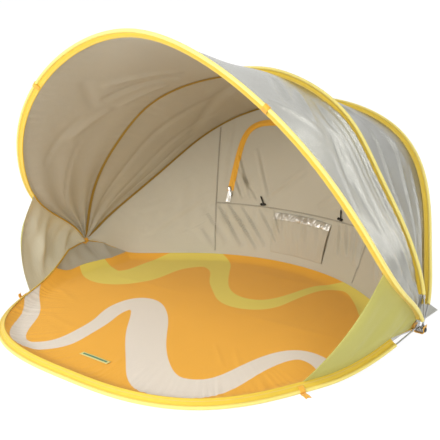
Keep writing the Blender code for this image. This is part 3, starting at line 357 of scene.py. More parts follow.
# Patterns of the materials
MOTTLE_SIZE = 140.0 * MM
PRINT_BLUR, PRINT_COVER = 0.8 * MM, 0.96
STITCH_HALF_WIDTH, STITCH_RISE, STITCH_GAP_SHARE = 0.45 * MM, 0.25 * MM, 0.28
WEAR_SIZE, WEAR_SHADE, WEAR_SPREAD = 12.0 * MM, 0.72, 0.12
GRAIN_SIZE, GRAIN_RISE = 0.6 * MM, 0.01 * MM
NET_PITCH, NET_THREAD_SHARE = 3.0 * MM, 0.17
PAPER_GRAIN, PAPER_GLOW_SHARE = 2.5 * MM, 0.86


def linear(code):
    """An sRGB hex colour as linear red, green and blue."""
    value = np.array([int(code[i:i + 2], 16) for i in (1, 3, 5)]) / 255
    return tuple(np.where(value <= 0.04045, value / 12.92, ((value + 0.055) / 1.055) ** 2.4))


def colour(code, name, description):
    """A colour a user can change."""
    return bpy.props.FloatVectorProperty(
        name=name, description=description, subtype="COLOR", size=3, min=0.0, max=1.0, default=linear(code))


def distance(value, name, description):
    """A length a user can change."""
    return bpy.props.FloatProperty(
        name=name, description=description, subtype="DISTANCE", unit="LENGTH", min=0.0, default=value)


class TentColours(bpy.types.PropertyGroup):
    """Colours of the cloths and webbing."""

    sleeve: colour("#E6C235", "Sleeve", "Yellow sleeves over the hoops and the floor ring")
    # The sleeve's paler edge colour is a painted highlight along the wire's channel, where the sleeve catches and lets
    # through light
    sleeve_edge: colour("#F2E17E", "Sleeve edge", "Paler yellow where the sleeve is stretched over the wire")
    floor: colour("#F7B43A", "Mat", "Orange cloth of the mat")
    front_band: colour("#E6DED2", "Front band", "Beige band across the front of the mat")
    rear_band: colour("#EAD762", "Rear band", "Yellow-green band across the back of the mat")
    silver: colour("#B6B5AC", "Canopy outside", "Silver coating on the outside of the canopy")
    lining: colour("#B2AC9B", "Canopy inside", "Taupe inside of the canopy")
    # The wall's taupe is a lighter copy of the canopy lining's, though it is the same side of the cloth: painted light
    wall: colour("#BFB9A6", "Wall inside", "Taupe inside of the back wall, the flap and the pocket")
    panel: colour("#BBB55E", "Side panel outside", "Yellow-green outside of the side panels")
    panel_lining: colour("#CFC8AE", "Side panel inside", "Khaki inside of the side panels")
    webbing: colour("#F6B62F", "Webbing", "Orange webbing, tabs, peg loops and zip tape")
    seam_tape: colour("#98781F", "Seam tape", "Dark yellow tape over the hoops' seams")
    # The piping is the seam tape's cloth in a lighter colour: painted light where it lies in the shade of the low
    # corners
    piping: colour("#C39B2C", "Corner piping", "Lighter yellow piping along the low corners")
    flap: colour("#CFCFC7", "Sand flap", "Grey sand flaps")


class TentSizes(bpy.types.PropertyGroup):
    """Sizes of the cloth's relief and making."""

    cloth: distance(0.7 * MM, "Cloth thickness", "Thickness of the canopy, wall and panels")
    mat: distance(1.0 * MM, "Mat thickness", "Thickness of the coated mat")
    webbing: distance(1.2 * MM, "Webbing thickness", "Thickness of the webbing and tapes")
    fold: distance(3.0 * MM, "Canopy fold", "Height of the long soft folds in the canopy")
    pucker: distance(0.8 * MM, "Pucker", "Height of the small puckers beside each seam")
    pucker_pitch: distance(17.0 * MM, "Pucker pitch", "Distance from one pucker to the next")
    stitch: distance(4.5 * MM, "Stitch length", "Length of one stitch with its gap")
    station: distance(6.0 * MM, "Station spacing", "Distance between the stations along sleeves and cloths")


def unit(vectors):
    """Vectors scaled to length one."""
    return vectors / np.linalg.norm(vectors, axis=-1, keepdims=True)


def smooth(value):
    """An even rise from 0 to 1: three times the square less twice the cube."""
    value = np.clip(value, 0.0, 1.0)
    return value * value * (3 - 2 * value)


def hump(value):
    """A parabola that is 0 at 0 and at 1, and 1 in the middle."""
    return 4 * value * (1 - value)


def circle(turns):
    """Cosine and sine of turns."""
    return np.stack([np.cos(turns), np.sin(turns)], axis=1)


def squared_circle(turns, power):
    """A circle drawn out to a square: each point over the power's root of the sum of its powers."""
    line = circle(turns)
    return line * (np.abs(line) ** power).sum(axis=1, keepdims=True) ** (-1 / power)


def running(line):
    """The running length at each point of a line."""
    return np.r_[0.0, np.cumsum(np.linalg.norm(np.diff(line, axis=0), axis=1))]


def on_grid(*values):
    """Values spread over one grid, as the coordinates of its points."""
    return np.stack(np.broadcast_arrays(*values), axis=-1)


def between(first, second, share):
    """The grid of straight lines from one line of points to another, at shares of the way."""
    return first[:, None] * (1 - share[:, None]) + second[:, None] * share[:, None]


def area_inside(outline):
    """The level area inside a closed outline: half the sum of the cross products of its neighbours."""
    x, y = outline[:, 0], outline[:, 1]
    return 0.5 * abs(float(np.sum(x * np.roll(y, -1) - y * np.roll(x, -1))))


def smooth_line(points, density=60):
    """A natural cubic through the points, and its running length.

    On each span the place is the straight line between its ends plus a cubic term for the bend at each
    end, and the bends come from one set of equations that makes the slope run on through every point.
    """
    points = np.asarray(points, float)
    span = np.linalg.norm(np.diff(points, axis=0), axis=1)
    knots = np.r_[0.0, np.cumsum(span)]
    system = np.diag(np.r_[1.0, 2 * (span[:-1] + span[1:]), 1.0])
    system += np.diag(np.r_[span[:-1], 0.0], -1) + np.diag(np.r_[0.0, span[1:]], 1)
    slope = np.diff(points, axis=0) / span[:, None]
    bend = np.linalg.solve(system, np.pad(6 * np.diff(slope, axis=0), ((1, 1), (0, 0))))
    at = np.linspace(0.0, knots[-1], density * len(points))
    i = np.clip(np.searchsorted(knots, at, side="right") - 1, 0, len(points) - 2)
    b = ((at - knots[i]) / span[i])[:, None]
    a = 1 - b
    line = a * points[i] + b * points[i + 1]
    line += ((a ** 3 - a) * bend[i] + (b ** 3 - b) * bend[i + 1]) * span[i][:, None] ** 2 / 6
    return line, running(line)


def read_line(curve, at):
    """Points of a line at running lengths."""
    line, length = curve
    return np.stack([np.interp(at, length, line[:, k]) for k in range(line.shape[1])], axis=-1)


class Wire:
    """One bent wire from the right hub to the left, with the directions of its sleeve's fin.

    Outer points from the cloth to the wire, and side is square to the fin: to the rear on a hoop, up and
    outwards on the floor ring.
    """

    def __init__(self, name, reach, shares, bare, lean=None, heading=0):
        self.name = name
        self.bare = bare
        self.heading = heading
        self.width = RING_SLEEVE_WIDTH if heading else SLEEVE_WIDTH
        slot = X_AXIS * (HUB_X + EYE_PITCH * EYE_SLOTS[name])
        share = np.array(shares)
        if heading:
            self.along, self.across = Y_AXIS * heading, Z_AXIS
            lift = RING_REST + (HUB[2] - RING_REST) * share[:, 2]
            half = np.stack([HUB_X * share[:, 0], heading * reach * share[:, 1], lift], axis=1)
        else:
            self.along = np.array([0.0, -math.cos(lean), math.sin(lean)])
            self.across = np.array([0.0, math.sin(lean), math.cos(lean)])
            half = HUB + np.outer(HUB_X * share[:, 0], X_AXIS) + np.outer(reach * share[:, 1], self.along)
            half += np.outer(reach * share[:, 2], self.across)
        start = HUB + slot + self.across * EYE_RADIUS
        half = np.vstack([start, start + self.along * EYE_LEAD, half])
        self.curve = smooth_line(np.vstack([half, half[-2::-1] * MIRROR_X]))
        self.length = self.curve[1][-1]

    def stations(self, start, step):
        """Running lengths at even steps between two places equally far from the ends."""
        count = int((self.length - 2 * start) / step)
        return np.linspace(start, self.length - start, count + 1)

    def frame_at(self, at):
        """Centre, outer, side and tangent of the wire at running lengths."""
        nudge = 2 * WIRE_RADIUS
        centre = read_line(self.curve, at)
        tangent = unit(read_line(self.curve, at + nudge) - read_line(self.curve, at - nudge))
        if not self.heading:
            side = unit(self.across - tangent * (tangent @ self.across)[..., None])
            return centre, np.cross(side, tangent), side, tangent
        level = unit(np.cross(tangent, Z_AXIS) * self.heading)
        up = np.cross(level, tangent) * self.heading
        cosine, sine = math.cos(RING_TILT), math.sin(RING_TILT)
        return centre, level * cosine - up * sine, level * sine + up * cosine, tangent

    def place(self, share):
        """Running lengths at shares from one end of the cloth to the other, kept clear of the hubs."""
        at = CLOTH_START + (self.length - 2 * CLOTH_START) * np.asarray(share, float)
        return np.clip(at, CLOTH_TIP, self.length - CLOTH_TIP)

    def hem_line(self, at, side=0, tuck=HEM_TUCK, spread=HEM_SPREAD):
        """The line inside the hem where a cloth's edge is sewn, at running lengths.

        Past each end of the sleeve the cloth runs straight to a corner at the hub, inside of the wire.
        """
        at = np.asarray(at, float)
        inset = np.minimum(at, self.length - at)
        mirror = np.where(at[..., None] > self.length / 2, MIRROR_X, 1.0)
        sewn = np.clip(inset, self.bare, None)
        centre, outer, across, _ = self.frame_at(sewn)
        hem = centre - outer * (self.width - CHANNEL_RADIUS - tuck) + across * (side * spread)
        corner = HUB + X_AXIS * (HUB_X - CORNER_INSET) + self.along * CLOTH_TIP
        way = np.clip((inset - CLOTH_TIP) / (self.bare - CLOTH_TIP), 0.0, 1.0)[..., None]
        return (corner * (1 - way) + hem * way) * mirror

    def rail(self, side, share, tuck=HEM_TUCK, spread=HEM_SPREAD):
        """The hem line at shares from one end of the cloth to the other."""
        return self.hem_line(self.place(share), side, tuck, spread)


WIRES = {
    "front_hoop": Wire("front_hoop", 0.736, FRONT_HOOP_SHARES, 0.027, FRONT_LEAN),
    "middle_hoop": Wire("middle_hoop", 0.561, MIDDLE_HOOP_SHARES, 0.080, MIDDLE_LEAN),
    "rear_hoop": Wire("rear_hoop", 0.645, REAR_HOOP_SHARES, 0.068, REAR_LEAN),
    "ring_front": Wire("ring_front", 0.575, RING_FRONT_SHARES, 0.090, heading=-1),
    "ring_rear": Wire("ring_rear", 0.341, RING_REAR_SHARES, 0.062, heading=1),
}
BODY = {
    "front_hoop": "front_hoop", "middle_hoop": "middle_hoop", "rear_hoop": "rear_hoop",
    "ring_front": "front_floor", "ring_rear": "rear_floor",
}


def build_mesh(name, patches, smooth_angle=50.0):
    """One mesh from grid patches, with the points where they meet made one.

    A patch is a dict with a grid of points, a grid of cloth places in metres with one more line on each
    wrapped way, and if need be its wrapped ways, material slot and shares of turning.
    """
    points, faces, places, slots, turns = [], [], [], [], []
    first = 0
    for patch in patches:
        grid = np.asarray(patch["points"], float)
        rows, columns = grid.shape[:2]
        wrap = patch.get("wrap", (False, False))
        ways = [np.arange(size - 1 + closed) for size, closed in zip((rows, columns), wrap)]
        i, k = np.meshgrid(*ways, indexing="ij")
        corners = ((i, k), (i + 1, k), (i + 1, k + 1), (i, k + 1))
        index = np.stack([(a % rows) * columns + b % columns for a, b in corners], axis=-1)
        cloth = patch.get("cloth")
        if cloth is None:
            cloth = plain_places(grid, wrap)
        points.append(grid.reshape(-1, 3))
        faces.append(index.reshape(-1, 4) + first)
        places.append(np.stack([cloth[a, b] for a, b in corners], axis=2).reshape(-1, 2))
        slots.append(np.full(index[..., 0].size, patch.get("slot", 0)))
        turns.append(np.broadcast_to(patch.get("turn", 0.0), (rows, columns)).ravel())
        first += rows * columns
    mesh = bpy.data.meshes.new(name)
    mesh.from_pydata(np.vstack(points), [], np.vstack(faces))
    mesh.uv_layers.new(name="cloth").data.foreach_set("uv", np.vstack(places).ravel())
    mesh.polygons.foreach_set("material_index", np.concatenate(slots).astype(np.int32))
    add_values(mesh, "turn", np.concatenate(turns))
    work = bmesh.new()
    work.from_mesh(mesh)
    bmesh.ops.remove_doubles(work, verts=work.verts, dist=0.01 * MM)
    work.to_mesh(mesh)
    work.free()
    mesh.shade_smooth()
    mesh.set_sharp_from_angle(angle=math.radians(smooth_angle))
    return mesh


def add_values(mesh, name, values):
    """Gives each point of a mesh a value of its own."""
    mesh.attributes.new(name, "FLOAT", "POINT").data.foreach_set("value", values.astype(np.float32))


def looks_towards(mesh, point):
    """Whether a mesh's faces, weighed by their areas, look towards a point."""
    read = {}
    for key, size in (("normal", 3), ("center", 3), ("area", 1)):
        read[key] = np.zeros(size * len(mesh.polygons), np.float32)
        mesh.polygons.foreach_get(key, read[key])
    away = np.sum(read["normal"].reshape(-1, 3) * (read["center"].reshape(-1, 3) - np.array(point)), axis=1)
    return away @ read["area"] < 0


def plain_places(grid, wrap):
    """Cloth places from a grid's own mean distances along its two ways."""
    closed = np.pad(grid, ((0, int(wrap[0])), (0, int(wrap[1])), (0, 0)), mode="wrap")
    along = np.linalg.norm(np.diff(closed, axis=0), axis=2).mean(axis=1)
    across = np.linalg.norm(np.diff(closed, axis=1), axis=2).mean(axis=0)
    u, v = np.r_[0.0, np.cumsum(along)], np.r_[0.0, np.cumsum(across)]
    return np.stack(np.meshgrid(u, v, indexing="ij"), axis=-1)


def show(name, patches, *materials, facing=None, solid=False, smooth_angle=50.0):
    """An object at the origin with its mesh in place and its faces turned outwards.

    Facing is a point behind an open cloth, so that its faces look away from it.
    """
    mesh = build_mesh(name, patches, smooth_angle)
    for material in materials:
        mesh.materials.append(bpy.data.materials[material])
    work = bmesh.new()
    work.from_mesh(mesh)
    if solid:
        bmesh.ops.recalc_face_normals(work, faces=work.faces)
    elif looks_towards(mesh, facing):
        bmesh.ops.reverse_faces(work, faces=work.faces)
    work.to_mesh(mesh)
    work.free()
    piece = bpy.data.objects.new(name, mesh)
    bpy.context.collection.objects.link(piece)
    return piece


def thicken(piece, thickness, lining=0):
    """Gives a cloth its thickness, half to each side. A lining of 1 puts its second material inside."""
    step = piece.modifiers.new("cloth thickness", "SOLIDIFY")
    step.thickness = thickness
    step.offset = 0.0
    step.material_offset = lining


def belong(piece, body, slot, *nodes):
    """Makes a piece ride on a body in place of CAD nodes, with its finish from a slot."""
    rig.ride(piece, body)
    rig.replaces(piece, *nodes)
    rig.slot(piece, slot)


def turn_between(piece, body, slot, *nodes, share=None):
    """Bends a cloth between the rear floor and a body that turns about the hubs, by its shares of turning.

    So each point is laid on the X axis where that rise gives its share of turning, the call is made, and
    the points go back to their places. A share for the whole piece keeps its shape.
    """
    mesh = piece.data
    count = len(mesh.vertices)
    place = np.zeros(3 * count)
    mesh.vertices.foreach_get("co", place)
    turn = np.full(count, share or 0.0, np.float32)
    if share is None:
        mesh.attributes["turn"].data.foreach_get("value", turn)
    laid = np.zeros((count, 3))
    laid[:, 0] = 0.5 - np.sin(np.arcsin(1 - 2 * np.clip(turn.astype(float), 0.0, 1.0)) / 3)
    mesh.vertices.foreach_set("co", laid.ravel())
    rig.blend(piece, "rear_floor", body, start=(0, 0, 0), end=(1, 0, 0))
    mesh.vertices.foreach_set("co", place)
    mesh.update()
    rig.replaces(piece, *nodes)
    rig.slot(piece, slot)


def flat_cut(grid):
    """A cloth's flat width and length and its flat area, from its unfolded grid."""
    along = float(np.linalg.norm(np.diff(grid, axis=0), axis=2).sum(axis=0).max())
    across = float(np.linalg.norm(np.diff(grid, axis=1), axis=2).sum(axis=1).max())
    a, b = grid[1:, 1:] - grid[:-1, :-1], grid[1:, :-1] - grid[:-1, 1:]
    area = float(np.linalg.norm(np.cross(a, b), axis=2).sum() / 2)
    return {"flat": (along, across), "area": min(area, along * across)}


def normals(grid):
    """Directions square to a grid of points."""
    return unit(np.cross(np.gradient(grid, axis=0), np.gradient(grid, axis=1)))


def creases(x, z, lines):
    """Ridges along straight lines: each as high as its own bell across and tapering to nothing at its ends.

    A line holds its two ends, its height and its half width. The bell is e to the minus square of the
    distance over the half width, and the taper is the root of a half sine wave along the line.
    """
    relief = np.zeros(np.broadcast(x, z).shape)
    for x0, z0, x1, z1, height, width in lines:
        way = np.array([x1 - x0, z1 - z0])
        length = np.hypot(*way)
        share = np.clip(((x - x0) * way[0] + (z - z0) * way[1]) / length ** 2, 0.0, 1.0)
        away = ((x - x0) * way[1] - (z - z0) * way[0]) / length
        relief += height * np.sqrt(np.sin(math.pi * share)) * np.exp(-(away / width) ** 2)
    return relief


# Materials


def fill(node, inputs):
    """Gives a node's inputs their values and links, by name or in order.

    A node given as a value stands for its open output.
    """
    for socket, value in (inputs if isinstance(inputs, dict) else dict(enumerate(inputs))).items():
        if isinstance(value, bpy.types.Node):
            value = next(out for out in value.outputs if out.enabled)
        if isinstance(value, bpy.types.NodeSocket):
            node.id_data.links.new(value, node.inputs[socket])
        else:
            node.inputs[socket].default_value = value


def add_node(tree, kind, inputs=(), **settings):
    """Adds a node with its settings, values and links."""
    made = tree.nodes.new("ShaderNode" + kind)
    for key, value in settings.items():
        setattr(made, key, value)
    fill(made, inputs)
    return made


def new_material(name):
    """A material with its nodes and its shader."""
    material = bpy.data.materials.new(name)
    material.use_nodes = True
    return material.node_tree, material.node_tree.nodes["Principled BSDF"]


def woven(name, base, stitch_pitch, shade=0.93, thread=0.9 * MM, crinkle=0.25 * MM, crinkle_size=22 * MM,
          roughness=0.75, metallic=0.0, sheen=0.08, stitches=(), edge=None, rib=0.0, bands=(), glow=0.0):
    """Woven cloth, coated or plain.

    Threads show as two sets of fine waves along the cloth's own two ways. The real ones are about 0.3 mm
    apart, and are drawn coarser so that they show. A noise about as wide as a finger gives the crinkles,
    and a wider one mottles the colour towards its shade, a second colour or a share of its own brightness.
    Stitches are dashes at distances from the piece's ridge.
    """
    shade = darker(base, shade) if isinstance(shade, float) else shade
    tree, surface = new_material(name)
    uv = add_node(tree, "UVMap", uv_map="cloth")
    spot = add_node(tree, "TexCoord").outputs["Object"]
    u, v, _ = add_node(tree, "SeparateXYZ", [uv]).outputs
    waves = []
    for way in (u, v):
        turn = add_node(tree, "Math", (way, math.tau / thread), operation="MULTIPLY")
        waves.append(add_node(tree, "Math", [turn], operation="SINE"))
    weave = add_node(tree, "Math", waves, operation="MULTIPLY")
    noise = add_node(tree, "TexNoise", {
        "Vector": spot, "Scale": 1 / crinkle_size, "Detail": 3.0, "Roughness": 0.55, "Distortion": 0.6})
    mottle = add_node(tree, "TexNoise", {"Vector": spot, "Scale": 1 / MOTTLE_SIZE, "Detail": 2.0})
    amount = add_node(tree, "Math", (weave, 0.06, mottle), operation="MULTIPLY_ADD")
    tone = add_node(tree, "Mix", {
        "Factor": amount, "A": (*base, 1.0), "B": (*shade, 1.0)}, data_type="RGBA")
    height = add_node(tree, "Math", (weave, 0.05 * thread), operation="MULTIPLY")
    height = add_node(tree, "Math", (noise, crinkle, height), operation="MULTIPLY_ADD")
    away = add_node(tree, "Math", [v], operation="ABSOLUTE")
    # An edge colour is a painted highlight: the tone turns to it within 5 mm of the ridge and fades out by 12 mm
    if edge is not None:
        step = add_node(tree, "MapRange", {
            "Value": away, "From Min": 5.0 * MM, "From Max": 12.0 * MM, "To Min": 1.0, "To Max": 0.0},
            interpolation_type="SMOOTHSTEP")
        tone = add_node(tree, "Mix", {"Factor": step, "A": tone, "B": (*edge, 1.0)}, data_type="RGBA")
    for attribute, tint in bands:
        reach = add_node(tree, "Attribute", attribute_name=attribute).outputs["Fac"]
        inside = add_node(tree, "MapRange", {
            "Value": reach, "From Min": -PRINT_BLUR, "From Max": PRINT_BLUR, "To Min": 1.0, "To Max": 0.0})
        cover = add_node(tree, "Math", (inside, PRINT_COVER), operation="MULTIPLY")
        tone = add_node(tree, "Mix", {"Factor": cover, "A": tone, "B": (*tint, 1.0)}, data_type="RGBA")
    if rib:
        turn = add_node(tree, "Math", (v, math.tau / rib), operation="MULTIPLY")
        ridge = add_node(tree, "Math", [turn], operation="SINE")
        height = add_node(tree, "Math", (ridge, 0.08 * rib, height), operation="MULTIPLY_ADD")
    for place in stitches:
        near = add_node(tree, "Math", (away, place, STITCH_HALF_WIDTH), operation="COMPARE")
        count = add_node(tree, "Math", (u, stitch_pitch), operation="DIVIDE")
        share = add_node(tree, "Math", [count], operation="FRACT")
        dash = add_node(tree, "Math", (share, STITCH_GAP_SHARE), operation="GREATER_THAN")
        stitch = add_node(tree, "Math", (near, dash), operation="MULTIPLY")
        height = add_node(tree, "Math", (stitch, STITCH_RISE, height), operation="MULTIPLY_ADD")
        cover = add_node(tree, "Math", (stitch, 0.7), operation="MULTIPLY")
        tint = tuple(min(1.0, 0.55 * channel + 0.30) for channel in base)
        tone = add_node(tree, "Mix", {"Factor": cover, "A": tone, "B": (*tint, 1.0)}, data_type="RGBA")
    bump = add_node(tree, "Bump", {"Height": height, "Distance": 1.0, "Strength": 1.0})
    fill(surface, {
        "Base Color": tone, "Roughness": roughness, "Metallic": metallic, "Sheen Weight": sheen,
        "Sheen Roughness": 0.5, "Subsurface Weight": glow, "Subsurface Scale": 3.0 * MM,
        "Subsurface Radius": (1.0, 1.0, 1.0), "Normal": bump})


def hard(name, base, roughness, metallic=0.0):
    """Metal or plastic: a plain colour with fine grain in its relief and a little unevenness in its gloss."""
    tree, surface = new_material(name)
    spot = add_node(tree, "TexCoord").outputs["Object"]
    fine = add_node(tree, "TexNoise", {"Vector": spot, "Scale": 1 / GRAIN_SIZE, "Detail": 2.0})
    broad = add_node(tree, "TexNoise", {"Vector": spot, "Scale": 1 / WEAR_SIZE, "Detail": 2.0})
    tone = add_node(tree, "Mix", {
        "Factor": broad, "A": (*base, 1.0), "B": (*darker(base, WEAR_SHADE), 1.0)}, data_type="RGBA")
    gloss = add_node(tree, "MapRange", {
        "Value": broad, "To Min": roughness - WEAR_SPREAD, "To Max": roughness + WEAR_SPREAD})
    relief = add_node(tree, "Math", (fine, GRAIN_RISE), operation="MULTIPLY")
    bump = add_node(tree, "Bump", {"Height": relief, "Distance": 1.0, "Strength": 1.0})
    fill(surface, {"Base Color": tone, "Roughness": gloss, "Metallic": metallic, "Normal": bump})


def darker(tint, share):
    """A colour at a share of its brightness."""
    return tuple(channel * share for channel in tint)


def make_materials(colours, sizes):
    """Every material of the tent, by its own name."""
    silver = dict(crinkle=0.8 * MM, crinkle_size=26 * MM, metallic=0.8, sheen=0.0)
    recipes = {
        # Polyester taffeta, dyed and woven: dull, with a paler painted highlight along the wire's channel, where the
        # sleeve catches and lets through light
        "yellow polyester sleeve": dict(
            base=colours.sleeve, shade=0.90, edge=colours.sleeve_edge, stitches=(9.5 * MM, SLEEVE_WIDTH),
            crinkle=0.18 * MM, crinkle_size=9 * MM, roughness=0.62, sheen=0.25),
        # Polyester with a matt coating underneath: heavier, so broad soft crinkles
        "coated orange mat cloth": dict(
            base=colours.floor, crinkle=0.5 * MM, crinkle_size=60 * MM, roughness=0.70,
            bands=(("front_band", colours.front_band), ("rear_band", colours.rear_band))),
        # Polyester with a brushed aluminium coating: soft mirror along the folds
        "silver coated canopy": dict(base=colours.silver, shade=0.86, roughness=0.27, **silver),
        # The same cloth in painted shade: darkened to stand for the shade the rear canopy lies in behind the front one,
        # with a slightly softer mirror
        "silver canopy in painted shade": dict(
            base=darker(colours.silver, 0.64), shade=0.875, roughness=0.30, **silver),
        # Uncoated side of the same cloth: dull taupe, lit through a little by the sky behind it
        "taupe canopy lining": dict(
            base=colours.lining, crinkle=0.5 * MM, crinkle_size=34 * MM, roughness=0.62, glow=0.22),
        # The same side on the wall, in a lighter colour than the lining as painted light: flatter and closer to the
        # eye, so its crinkles show more
        "taupe wall cloth": dict(
            base=colours.wall, shade=0.92, crinkle=0.7 * MM, crinkle_size=30 * MM, roughness=0.58, glow=0.14),
        # Dyed taffeta of one layer: smooth and even, with hardly a crinkle
        "yellow-green panel cloth": dict(
            base=colours.panel, crinkle=0.3 * MM, crinkle_size=26 * MM, roughness=0.60),
        # Its back, where the dye shows faintly: paler, and lit through
        "khaki panel lining": dict(
            base=colours.panel_lining, shade=0.90, crinkle=0.3 * MM, crinkle_size=26 * MM, roughness=0.55,
            glow=0.22),
        # Polypropylene webbing: thick ribs across, 2 mm apart
        "orange webbing": dict(
            base=colours.webbing, shade=0.85, thread=1.6 * MM, crinkle=0.1 * MM, rib=2.0 * MM, roughness=0.60,
            sheen=0.3),
        # Woven binding tape, folded and sewn: flat and matt, with one row of stitches near each edge
        "dark yellow seam tape": dict(
            base=colours.seam_tape, shade=0.85, crinkle=0.1 * MM, stitches=(4.0 * MM,), roughness=0.7),
        # The same tape with its folded edge out, its colour lightened as painted light where it lies in the shade of
        # the low corners, and thin enough to let light through
        "seam tape piping, painted light": dict(
            base=colours.piping, shade=0.85, crinkle=0.1 * MM, roughness=0.7, glow=0.14),
        # Uncoated grey polyester that lies on the ground: dull, with loose crinkles
        "grey sand flap cloth": dict(
            base=colours.flap, shade=0.90, crinkle=0.4 * MM, crinkle_size=24 * MM, roughness=0.62),
        # Wall cloth folded on itself and sewn, its colour darkened as painted shade for the shade in its fold, with a
        # row of stitches each side
        "taupe seam binding, painted shade": dict(
            base=darker(colours.wall, 0.74), shade=0.8649, crinkle=0.05 * MM, stitches=(2.0 * MM,),
            roughness=0.8),
        # Aluminised film, gathered on elastic: bright, sharp glints on small crumples
        "crinkled silver film": dict(
            base=linear("#F0EEE8"), shade=linear("#C9C6BD"), crinkle=0.7 * MM, crinkle_size=13 * MM,
            roughness=0.30, metallic=0.55, sheen=0.0),
        # Braided cover over rubber: black and dull, its braid drawn 1 mm coarse
        "black elastic cord": dict(
            base=linear("#1B1714"), shade=linear("#2C2620"), thread=1.0 * MM, crinkle=0.05 * MM,
            roughness=0.7),
        # Damask label, woven flat: pale and smooth
        "blank woven label": dict(
            base=linear("#E9E39A"), shade=linear("#DDD686"), thread=0.8 * MM, crinkle=0.08 * MM,
            roughness=0.7),
        # A stripe woven into the label: the same cloth in green
        "green label stripe": dict(
            base=linear("#5E8F6E"), shade=linear("#56826A"), thread=0.8 * MM, crinkle=0.05 * MM,
            roughness=0.7),
    }
    for name, recipe in recipes.items():
        woven(name, stitch_pitch=sizes.stitch, **recipe)
    # Drawn spring steel, zinc plated: grey and satin
    hard("plated spring steel", linear("#C3C5C6"), 0.45, 0.85)
    # Nickel-plated zinc die casting: bright, with slightly soft edges
    hard("nickel plated zinc", linear("#D6D4CF"), 0.22, 1.0)
    # Moulded polyamide: black with a fine spark-eroded grain
    hard("moulded black nylon", linear("#141312"), 0.45)
    net_material()


def net_material():
    """Knitted net: black threads round open holes, so that the flap shows through it.

    The real threads are 0.3 mm wide and 1.5 mm apart, and are drawn about 1 mm wide and 3 mm apart to show.
    """
    tree, surface = new_material("black knotted net")
    uv = add_node(tree, "UVMap", uv_map="cloth")
    threads = []
    for way in add_node(tree, "SeparateXYZ", [uv]).outputs[:2]:
        count = add_node(tree, "Math", (way, NET_PITCH), operation="DIVIDE")
        share = add_node(tree, "Math", [count], operation="FRACT")
        centred = add_node(tree, "Math", (share, 0.5), operation="SUBTRACT")
        away = add_node(tree, "Math", [centred], operation="ABSOLUTE")
        threads.append(add_node(tree, "Math", (away, NET_THREAD_SHARE), operation="LESS_THAN"))
    cover = add_node(tree, "Math", threads, operation="MAXIMUM")
    fill(surface, {"Base Color": (*linear("#26262A"), 1.0), "Roughness": 0.8, "Alpha": cover})


# Sleeves and wires


def fin_outline(width):
    """A sleeve's section about the wire, from its hem round and back, and its distances from the ridge.

    A round channel holds the wire, a seam pinches the cloth beneath it, and a flat fin of two layers,
    swollen by a part of a sine wave, runs to a small folded hem.
    """
    channel = CHANNEL_RADIUS * circle(np.radians(np.linspace(-112.0, 112.0, 15)))
    hem = -(width - CHANNEL_RADIUS - HEM_RADIUS)
    seam = -CHANNEL_RADIUS * 1.12
    share = np.linspace(0.0, 1.0, 8)
    swell = FIN_HALF + FIN_SWELL * np.sin(math.pi * share * 0.62)
    flank = np.stack([seam + (hem - seam) * share, swell], axis=1)
    hem_arc = HEM_RADIUS * circle(np.radians(np.linspace(90.0, 180.0, 4))[1:]) + [hem, 0.0]
    high = np.vstack([flank, hem_arc])
    outline = np.vstack([high[::-1] * [1.0, -1.0], channel, high])
    away = running(outline)
    return outline[:-1], away - away[-1] / 2


def sleeve_patches(wire, sizes):
    """The sleeve's skin carried along the wire, with cuffs at both ends that turn in to the bore.

    Its flanks ripple a little beside the seam: their thickness is shifted by two sine waves along the wire. A
    cuff is a little wider over its last 6 mm, and narrows again at its very end.
    """
    at = wire.stations(wire.bare, sizes.station * 0.75)
    ends = np.array([0.3, 0.8, 6.0, 7.0]) * MM
    at = np.unique(np.r_[at, wire.bare + ends, wire.length - wire.bare - ends])
    outline, away = fin_outline(wire.width)
    centre, outer, side, _ = wire.frame_at(at)
    inset = np.minimum(at - wire.bare, wire.length - wire.bare - at)[:, None]
    cuff = 1 + 0.16 * (1 - smooth((inset - ends[2]) / (ends[3] - ends[2])))
    cuff = cuff - 0.2 * (1 - smooth(inset / ends[1]))
    phase = math.tau * at[:, None] / sizes.pucker_pitch
    flank = smooth((-outline[:, 0] - CHANNEL_RADIUS) / (3.0 * MM))
    lean = np.where(outline[:, 1] > 0, 1.0, -1.0)
    ripple = np.sin(phase + 1.7 * np.sin(phase * 0.37)) * 0.5 + np.sin(phase * 0.61 + lean) * 0.5
    shift = outline[:, 1] * cuff + ripple * flank * 0.22 * MM * smooth(inset / (9.0 * MM))
    skin = centre[:, None] + outline[None, :, :1] * outer[:, None] + shift[..., None] * side[:, None]
    patches = [{"points": skin, "cloth": on_grid(at[:, None], away), "wrap": (False, True)}]
    bore = BORE_RADIUS * circle(np.arctan2(outline[:, 1], outline[:, 0]))
    for end, deep in ((0, CUFF_DEPTH), (-1, -CUFF_DEPTH)):
        middle, out, square, tangent = (values[end] for values in wire.frame_at(at))
        mouth = middle + bore[:, :1] * out + bore[:, 1:] * square
        rows = np.stack([skin[end], mouth, mouth + tangent * deep])
        patches.append({"points": rows, "wrap": (False, True)})
    return patches


def ring_grid(centres, first, second, radius, sides):
    """Circles about centres, as cosine and sine of even turns along two directions."""
    turns = np.arange(sides) * math.tau / sides
    radius = np.broadcast_to(radius, len(centres))[:, None, None]
    return centres[:, None] + radius * (
        np.cos(turns)[:, None] * first[:, None] + np.sin(turns)[:, None] * second[:, None])


